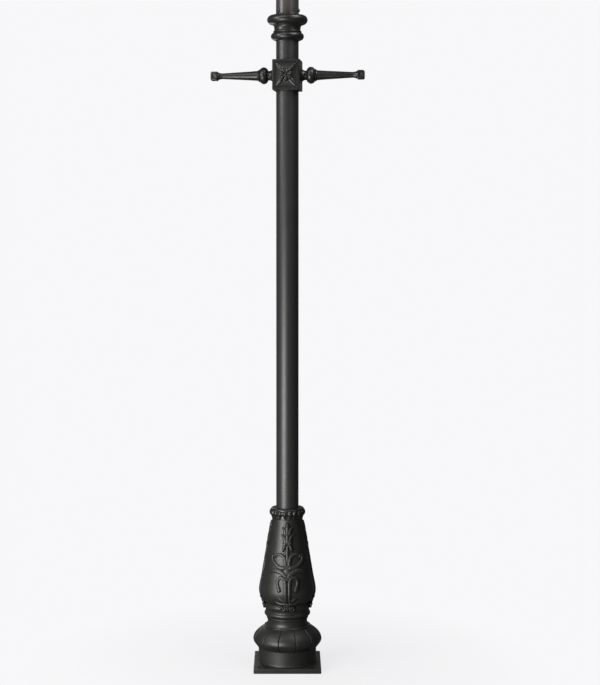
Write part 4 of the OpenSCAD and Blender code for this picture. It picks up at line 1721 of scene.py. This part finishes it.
@dataclass
class LadderRest:
    """The box round the tube, its ornament and its two arms."""

    bench: Bench
    box_w: float = 93.0
    border: float = 10.0
    panel_depth: float = 2.5
    panel_gap: float = 0.8
    panel_wall: tuple[float, ...] = (-1.2, -0.3, 0.3, 1.2)
    pyramid: float = 9.0
    edge: float = 1.6
    corner_r: float = 2.0
    corner_bends: tuple[float, ...] = (0.4, 0.8, 1.2)
    bore_r: float = 38.2
    bore_edge: float = 0.8
    hole_r: float = 3.1
    petals: int = 7
    petal_from: float = 5.5
    petal_to: float = 22.5
    boss_face_r: float = 26.0
    root_r: float = 16.5
    neck_r: float = 16.0
    tip_r: float = 9.7
    ball_r: float = 28.4
    ball_half: float = 14.7
    ball_offset: float = 20.5
    ball_round: float = 14.4
    boss_len: float = 13.0
    knob_half: float = 15.5
    knob_len: float = 24.0
    dimple: float = 2.4
    dimple_half: float = 8.5
    bar_half: float = 261.0

    def __post_init__(self) -> None:
        """Reads the rest's height and turn from the frame."""
        low, high = self.bench.span("ladder_box")
        self.middle = (low[2] + high[2]) / 2
        self.box_h = high[2] - low[2]
        self.half = self.box_w / 2
        self.inner = self.half - self.border
        self.tall = self.box_h / 2 - self.border
        axis = self.bench.joint("ladder_box_screw_slide")["axis"]
        self.turn = math.atan2(-axis[0], axis[1])
        self.arm_x = self.half + self.boss_len

    def turned(self, rings: np.ndarray, extra: float = 0.0) -> np.ndarray:
        """Turns rings with the ladder rest round the post.

        Args:
            rings: Array of ring, point, coordinate.
            extra: Degrees that are added to the rest's own turn.

        Returns:
            The turned array.
        """
        a = self.turn + math.radians(extra)
        c, s = math.cos(a), math.sin(a)
        return rings @ np.array([[c, -s, 0], [s, c, 0], [0, 0, 1]]).T

    def sideways(self) -> Matrix:
        """Where the axes of a piece that lies along the bar go, before the rest is turned."""
        return Matrix.Translation((0, 0, self.middle)) @ Matrix.Rotation(math.pi / 2, 4, "Y")

    def skin(self, face: float) -> PanelSkin:
        """The panel's surface, from its foot's depth."""
        width, height = self.inner - self.panel_gap, self.tall - self.panel_gap
        return PanelSkin(face, self.middle, width, height, self.pyramid)

    def outline(self) -> np.ndarray:
        """The box seen from above, with more points where its panels step back.

        Returns:
            An array of x, y rows.
        """
        half, r = self.half, self.corner_r
        run = np.concatenate([[r - half], np.array(self.panel_wall) - self.inner])
        fine = np.linspace(-self.inner + 2.2, 0, 18)
        front = np.concatenate([run, fine, -fine[-2::-1], -run[::-1]])
        side = (-half + r, -half + 2 * r, -half / 2, 0, half / 2, half - 2 * r, half - r)
        bends = [(r * math.cos(a), r * math.sin(a)) for a in self.corner_bends]
        quarter: list[Point] = [(x, -half) for x in front]
        quarter += [(half - r + s, -half + (r - c)) for c, s in bends]
        quarter += [(half, y) for y in side]
        quarter += [(half - r + c, half - r + s) for c, s in bends]
        return np.array(quarter + [(-x, -y) for x, y in quarter])

    def press_panels(self, rings: np.ndarray) -> None:
        """Presses the two panels and their pyramids into the faces of the box.

        Args:
            rings: The box's rings, which are changed.
        """
        x, y, z = rings[..., 0], rings[..., 1], rings[..., 2] - self.middle
        on_face = np.abs(np.abs(y) - self.half) < 0.01
        across = np.clip((self.inner + 0.6 - np.abs(x)) / 0.9, 0, 1)
        upward = np.clip((self.tall + 0.6 - np.abs(z)) / 0.9, 0, 1)
        panel = np.where(on_face, np.minimum(across, upward), 0)
        step = self.skin(self.half).depth(x, z) - self.panel_depth
        rings[..., 1] = y + np.sign(y) * step * panel

    def box(self) -> Shell:
        """The box with its bore, panels, pyramids and the two roots of the arms.

        Returns:
            The shell, whose islands are joined when it is bored.
        """
        low, high = self.middle - self.box_h / 2, self.middle + self.box_h / 2
        loop = self.outline()
        wall = np.array(self.panel_wall)
        rim = softened([(7, low), (0, low), (0, high), (7, high)], self.edge, False)
        fine = np.linspace(-self.tall + 2.2, self.tall - 2.2, 39)
        heights = np.concatenate([wall - self.tall, fine, wall + self.tall])
        cut = len(rim) // 2
        rows = [*rim[:cut], *((0.0, self.middle + z) for z in heights), *rim[cut:]]
        rings = np.array([level(loop * (1 - inset / self.half), z) for inset, z in rows])
        self.press_panels(rings)
        turn = np.arctan2(loop[:, 1], loop[:, 0])
        circle = np.column_stack([np.cos(turn), np.sin(turn)])
        r, wide = self.bore_r, self.bore_r + self.bore_edge
        down = [(wide, high), (r, high - self.bore_edge), (r, high - 2)]
        down += [(r, low + 2), (r, low + self.bore_edge), (wide, low)]
        bore = np.array([level(reach * circle, z) for reach, z in down])
        shell = Shell().skin(self.turned(np.concatenate([rings, bore])), wrap=True)
        profile = [(self.boss_face_r, self.half - 4), (self.boss_face_r, self.half)]
        root, neck = (self.root_r + 2, self.half + 4), (self.neck_r, self.arm_x)
        profile += bow((self.boss_face_r, self.half + 1), root, neck, 10)
        levels = [(x, ring(r, 48)) for r, x in profile]
        for side in Turn:
            shell.skin(self.turned(stacked(levels, self.sideways()), side.value), caps=True)
        return shell

    def screw_hole(self) -> Shell:
        """The hole in the back's border that the clamping screw slides in.

        Returns:
            The shell of the hole's volume.
        """
        axis = Vector(self.bench.joint("ladder_box_screw_slide")["axis"])
        rise = self.middle + self.box_h / 2 - self.border / 2
        place = pointing(axis, Vector((0, 0, rise)))
        levels = [(r, ring(self.hole_r, 40)) for r in (self.bore_r - 3, self.half + 3)]
        return Shell().skin(stacked(levels, place), caps=True)

    def ornament(self) -> Shell:
        """Leaves along the pyramid's ridges and the rosette at its top, front and back.

        Returns:
            The shell of its strands.
        """
        skin = self.skin(self.half - self.panel_depth)
        strands = []
        for (sx, sz), widths in LEAF_WIDTHS.items():
            path = tuple((sx * self.inner * t, sz * self.tall * t) for t in (0.3, 0.48, 0.7, 0.95))
            strands.append(replace(LEAF, path=path, widths=widths))
        near, far = self.petal_from, self.petal_to
        for i in range(self.petals):
            a = math.tau * (i + 0.3) / self.petals
            path = tuple((r * math.cos(a), r * math.sin(a)) for r in (near, (near + far) / 2, far))
            strands.append(replace(ROSETTE_PETAL, path=path))
        strands.append(ROSETTE_HEART)
        shell = Shell()
        for strand in strands:
            placed = skin.place(strand.rings())
            for side in Turn:
                shell.skin(self.turned(placed, side.value), caps=True)
        return shell

    def arm_profile(self) -> list[Point]:
        """Outline of an arm: neck, ball, rings, taper and knob.

        Returns:
            Distance from the post, radius points, outwards.
        """
        ball_x = self.arm_x + self.ball_offset
        knob_x, tip = self.bar_half - self.knob_len, self.bar_half
        root, neck, half = self.root_r, self.neck_r, self.knob_half
        ball = [
            (
                ball_x + self.ball_half * math.sin(a),
                self.ball_r - self.ball_round + self.ball_round * math.cos(a),
            )
            for a in np.radians(np.linspace(-82, 72, 23))
        ]
        profile = [(self.arm_x, 8), (self.arm_x, neck - 0.6), (self.arm_x + 0.6, neck)]
        profile += [(self.arm_x + 2.5, neck), *ball]
        start = ball_x + self.ball_half
        profile += [(start + 0.3, root + 5), (start + 0.8, root + 4.2), (start + 2, root + 4.2)]
        profile += [(start + 2.4, root + 3.4)]
        profile += bow((start + 3, root + 2.8), (start + 5, root + 0.4), (start + 9, root), 8)
        profile += [(start + 30, root - 1.6), (knob_x - 22, self.tip_r + 0.3)]
        flare = (knob_x - 6, self.tip_r + 0.6)
        profile += bow((knob_x - 16, self.tip_r), flare, (knob_x, half - 1.5), 8)
        profile += bow((knob_x + 0.8, half - 0.6), (knob_x + 1.6, half), (knob_x + 4, half), 4)
        profile += [(knob_x + t, half) for t in range(6, 20, 2)]
        profile += bow((tip - 5, half), (tip - 0.6, half - 0.5), (tip, half - 5), 6)
        profile += [(tip, half - 7), (tip - 1.2, half - 8.5), (tip - 1.6, 2)]
        return profile

    def arm(self, end: Turn) -> Shell:
        """An arm with its ball and its squared knob, whose four faces are dimpled.

        Args:
            end: The end of the rest that it belongs to.

        Returns:
            The closed shell.
        """
        knob_x = self.bar_half - self.knob_len
        square_from, middle = knob_x - 1, knob_x + self.knob_len / 2
        turn = np.arange(56) / 56 * math.tau
        c, s = np.abs(np.cos(turn)), np.abs(np.sin(turn))
        levels = []
        for x, r in self.arm_profile():
            power = 2 + 5 * min(max((x - square_from) / 4, 0), 1)
            reach = r / (c**power + s**power) ** (1 / power)
            if x > square_from:
                sideways = reach * np.minimum(c, s)
                share = np.maximum(abs(x - middle) / self.dimple_half, sideways / self.dimple_half)
                on_face = r > self.knob_half - 0.2
                reach = reach - self.dimple * np.clip(1 - share, 0, 1) * on_face
            levels.append((x, np.stack([reach * np.cos(turn), reach * np.sin(turn)], 1)))
        return Shell().skin(self.turned(stacked(levels, self.sideways()), end.value), caps=True)

    def build(self) -> None:
        """Makes the ladder rest."""
        rest = Body.LADDER_REST.value
        box = bored(self.box().mesh("ladder_box_casting"), self.screw_hole().mesh("screw_hole"))
        self.bench.settle("ladder_box_casting", box, FITTING_BLACK, rest, ("ladder_box",))
        self.bench.single("ladder_box_ornament", self.ornament(), FITTING_BLACK, rest, "ladder_box")
        for name, end in (("right", Turn.RIGHT), ("left", Turn.LEFT)):
            node = f"ladder_arm_{name}"
            self.bench.single(f"{name}_arm", self.arm(end), FITTING_BLACK, rest, node)
        self.bench.keep("arm_studs", ZINC)
        self.bench.keep("ladder_box_screw", ZINC)


@dataclass
class LanternSeat:
    """The turned collar on the post tube and the lantern tube that rises from it."""

    bench: Bench
    bore_r: float = 38.3
    waist_r: float = 44.3
    low_size: float = 12.5
    low_r: float = 43.3
    low_drop: float = 27.5
    bead_size: float = 3.0
    bead_drop: float = 12.2
    top_size: float = 15.5
    top_r: float = 52.8
    top_rise: float = 27.8
    ledge_t: float = 6.0
    sleeve_r: float = 35.1
    swivel_r: float = 38.5
    seat_r: float = 37.6
    seat_len: float = 60.0
    inner_r: float = 35.0
    clamp_z: float = 2228.0
    segments: int = 144

    def collar(self) -> Shell:
        """The collar with its two toruses, bead and stepped cavetto.

        Returns:
            The closed shell.
        """
        ledge = self.bench.span("post_tube")[1][2]
        low, high = self.bench.span("top_collar")
        waist, swivel = self.waist_r, self.swivel_r
        bead_z = ledge - self.bead_drop
        top_z = ledge + self.top_rise
        outline = [(self.bore_r, low[2]), (self.bore_r + 3.4, low[2])]
        outline += arc(self.low_r, ledge - self.low_drop, self.low_size, -84, 66, 26)
        outline += [(waist + 3.2, bead_z - 3)]
        outline += arc(waist + 0.9, bead_z, self.bead_size, -70, 70, 8)
        outline += [(waist + 0.8, bead_z + 3.6), (waist, bead_z + 5), (waist, ledge + 0.5)]
        outline += [(waist + 0.9, ledge + 1.0), (waist + 0.9, ledge + 2.6)]
        cove = (waist + 1.4, ledge + 8)
        outline += bow((waist + 0.6, ledge + 3), cove, (waist + 5.4, ledge + 9.4), 8)
        outline += [(waist + 5.4, ledge + 10.8), (waist + 8, ledge + 11.2)]
        outline += arc(self.top_r, top_z, self.top_size, -82, 84, 32)
        outline += [(swivel + 3.2, top_z + self.top_size + 0.2)]
        outline += bow((swivel + 3, ledge + 44), (swivel + 3, high[2]), (swivel + 1.4, high[2]), 5)
        seat = ledge + self.ledge_t
        outline += [(swivel, high[2]), (swivel, seat), (self.sleeve_r, seat)]
        outline += [(self.sleeve_r, ledge), (self.bore_r, ledge)]
        return Shell().skin(lathe(softened(outline, 0.5), self.segments), wrap=True)

    def tube(self) -> Shell:
        """The lantern tube with its turned seat.

        Returns:
            The closed shell.
        """
        low, high = self.bench.span("top_tube")
        r, step = high[0], high[2] - self.seat_len
        outline = [(r, low[2]), (r, step), (self.seat_r, step + 0.4), (self.seat_r, high[2])]
        outline += [(self.inner_r, high[2]), (self.inner_r, low[2])]
        return Shell().skin(lathe(softened(outline, 0.4), self.segments), wrap=True)

    def clamp(self, side: str) -> None:
        """Makes one of the three clamp screws.

        Args:
            side: The side of the tube that the screw is on.
        """
        node = f"clamp_screw_{side}"
        axis = Vector(self.bench.joint(f"{node}_slide")["axis"])
        face = self.bench.span("top_tube")[1][0]
        screw = Fastener(4.0, 3.6, 6.3, 4.5, socket_r=2.9, socket=2.4, dome=1.2)
        start = Vector((0, 0, self.clamp_z)) + axis * (face + 0.1)
        head = screw.shell(pointing(axis, start))
        self.bench.single(f"{node}_head", head, LANTERN_BLACK, node, node)

    def build(self) -> None:
        """Makes the collar, the lantern tube and its screws."""
        post, body = Body.POST.value, Body.LANTERN_TUBE.value
        self.bench.single("turned_collar", self.collar(), FITTING_BLACK, post, "top_collar")
        self.bench.single("lantern_tube_top", self.tube(), LANTERN_BLACK, body, "top_tube")
        for side in ("right", "back", "left"):
            self.clamp(side)


@dataclass(frozen=True)
class Softbox:
    """A rectangular lamp that faces the post.

    Attributes:
        name: Name of the lamp.
        bearing: Angle from the camera's side of the post, minus is left.
        distance: Distance from the post's axis in metres.
        height: Height of its centre.
        aim: Height of the point that it faces.
        size: Width and height.
        power: Power in watts.
        colour: Colour of the light.
    """

    name: str
    bearing: float
    distance: float
    height: float
    aim: float
    size: tuple[float, float]
    power: float
    colour: tuple[float, float, float] = (1.0, 1.0, 1.0)

    def build(self) -> None:
        """Puts the lamp in the scene."""
        lamp = bpy.data.lights.new(self.name, "AREA")
        lamp.shape = "RECTANGLE"
        lamp.size, lamp.size_y = self.size
        lamp.energy = self.power
        lamp.color = self.colour
        a = math.radians(self.bearing)
        place = Vector((self.distance * math.sin(a), -self.distance * math.cos(a), self.height))
        holder = bpy.data.objects.new(self.name, lamp)
        holder.location = place
        towards = Vector((0, 0, self.aim)) - place
        holder.rotation_euler = towards.to_track_quat("-Z", "Y").to_euler()
        holder.visible_camera = False
        bpy.context.scene.collection.objects.link(holder)


@dataclass
class Studio:
    """Camera, lamps, floor and backdrop.

    Attributes:
        distance: Distance of the camera from the post's axis in metres.
        height: Height of the camera.
        tilt: Tilt of the camera downwards in degrees.
        lens: Focal length over a 36 mm sensor.
        shift: Shift of the frame.
        paper: Colour of the backdrop.
        floor_half: Half the floor's width in metres.
        floor_gloss: How bright the floor is in reflections.
        floor_glow: Share of the paper's even light in the floor under the post.
        glow_reach: Distances from the post between which that share grows to 1.
        dark_bounce_floor: The floor's near-black colour for the light that it throws back onto the
            post, which paints shade under the post's lower parts.
        seen_floor: The floor's colour where the camera sees it, with the post's shadow.
        room: How bright the room in front of the post is in reflections.
        behind: How bright the paper behind it is in reflections.
        paper_edge: How far back the paper starts and is full.
        around: How bright the room is for all other light.
        lamps: The lamps.
    """

    distance: float = 5.232
    height: float = 1.5
    tilt: float = 2.63
    lens: float = 81.0
    shift: tuple[float, float] = (0.0184, -0.0647)
    paper: tuple[float, float, float] = (0.94, 0.93, 0.945)
    floor_half: float = 40.0
    floor_gloss: float = 0.07
    floor_glow: float = 0.8
    glow_reach: tuple[float, float] = (0.1, 0.9)
    dark_bounce_floor: tuple[float, float, float] = (0.06, 0.06, 0.06)
    seen_floor: tuple[float, float, float] = (0.8, 0.8, 0.8)
    room: float = 0.025
    behind: float = 0.16
    paper_edge: tuple[float, float] = (0.2, 0.95)
    around: float = 0.12
    lamps: tuple[Softbox, ...] = (
        Softbox("upper_softbox", -62, 2.4, 2.66, 2.3, (0.8, 1.3), 40),
        Softbox("lower_softbox", -36, 2.4, 0.5, 0.6, (1.2, 1.0), 72),
        Softbox("top_softbox", -28, 1.2, 3.1, 0.2, (0.8, 0.8), 8),
        Softbox("top_right_softbox", 60, 1.1, 3.3, 2.1, (0.8, 0.8), 18),
        Softbox("right_fill", 42, 3.0, 2.95, 2.3, (0.5, 0.9), 8, (0.88, 0.92, 1.0)),
        Softbox("back_softbox", -165, 2.6, 1.3, 1.1, (0.5, 1.8), 6),
    )

    def camera(self) -> None:
        """Makes the camera of the photograph."""
        data = bpy.data.cameras.new("camera")
        data.sensor_width = 36.0
        data.lens = self.lens
        data.shift_x, data.shift_y = self.shift
        data.clip_end = 200.0
        holder = bpy.data.objects.new("camera", data)
        holder.location = (0.0, -self.distance, self.height)
        holder.rotation_euler = (math.radians(90 - self.tilt), 0.0, 0.0)
        bpy.context.scene.collection.objects.link(holder)
        bpy.context.scene.camera = holder

    def rays(self, graph: Graph) -> tuple[Wire, Wire, Wire]:
        """Whether a ray comes from the camera, a glossy surface or a clear one."""
        names = ("Is Camera Ray", "Is Glossy Ray", "Is Transmission Ray")
        return tuple(graph.node("ShaderNodeLightPath", output=name) for name in names)

    def floor(self) -> None:
        """Makes a pale floor that keeps a faint shadow and melts into the backdrop."""
        s = self.floor_half
        mesh = bpy.data.meshes.new("floor")
        mesh.from_pydata([(-s, -s, 0), (s, -s, 0), (s, s, 0), (-s, s, 0)], [], [(0, 1, 2, 3)])
        made = bpy.data.materials.new("pale_floor")
        made.use_nodes = True
        graph = Graph(made.node_tree)
        where = graph.node("ShaderNodeTexCoord", output="Object")
        spot = graph.node("ShaderNodeVectorMath", {"operation": "LENGTH"}, {0: where}, "Value")
        camera, glossy, clear = self.rays(graph)
        even = spot.between(*self.glow_reach) * (1 - self.floor_glow) + self.floor_glow
        share = camera.at_least(clear) * even + glossy * self.floor_gloss
        paper = {"Color": (*self.paper, 1), "Strength": 1.0}
        glow = graph.node("ShaderNodeEmission", {}, paper)
        # Painted shade: near black for the light that the floor throws back onto the post, pale
        # where the camera sees the floor.
        shade = graph.blend(camera, self.dark_bounce_floor, self.seen_floor)
        dark_bounce_floor = graph.node("ShaderNodeBsdfDiffuse", {}, {"Color": shade})
        surface = graph.node("ShaderNodeMixShader", {}, {0: share, 1: dark_bounce_floor, 2: glow})
        graph.node("ShaderNodeOutputMaterial", {}, {"Surface": surface})
        mesh.materials.append(made)
        floor = bpy.data.objects.new("floor", mesh)
        bpy.context.scene.collection.objects.link(floor)

    def backdrop(self) -> None:
        """Sets the world: paper behind the post, a dim room in front of it for reflections."""
        world = bpy.data.worlds.new("studio")
        world.use_nodes = True
        bpy.context.scene.world = world
        graph = Graph(world.node_tree)
        where = graph.node("ShaderNodeTexCoord", output="Generated")
        parts = graph.tree.nodes.new("ShaderNodeSeparateXYZ")
        graph.tree.links.new(where.socket, parts.inputs[0])
        behind = Wire(graph, parts.outputs["Y"]).between(*self.paper_edge)
        camera, glossy, clear = self.rays(graph)
        seen = camera.at_least(clear)
        reflected = glossy * (behind * (self.behind - self.room) + self.room)
        plain = (1 - glossy) * self.around
        strength = seen + (1 - seen) * (reflected + plain)
        paper = {"Color": (*self.paper, 1), "Strength": strength}
        light = graph.node("ShaderNodeBackground", {}, paper)
        graph.node("ShaderNodeOutputWorld", {}, {"Surface": light})

    def build(self) -> None:
        """Sets up the whole studio."""
        bpy.context.scene.view_settings.view_transform = "Standard"
        self.camera()
        self.floor()
        self.backdrop()
        for lamp in self.lamps:
            lamp.build()


def main() -> None:
    """Loads the frame, builds every sub-assembly in order and sets up the studio."""
    logging.basicConfig(level=logging.INFO, format="%(name)s: %(message)s")
    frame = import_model()
    Studio().build()
    bench = Bench(frame)
    for assembly in (BasePlate, Foot, Vase, BeadedCollar, PostTube, LadderRest, LanternSeat):
        assembly(bench).build()


if __name__ == "__main__":
    main()
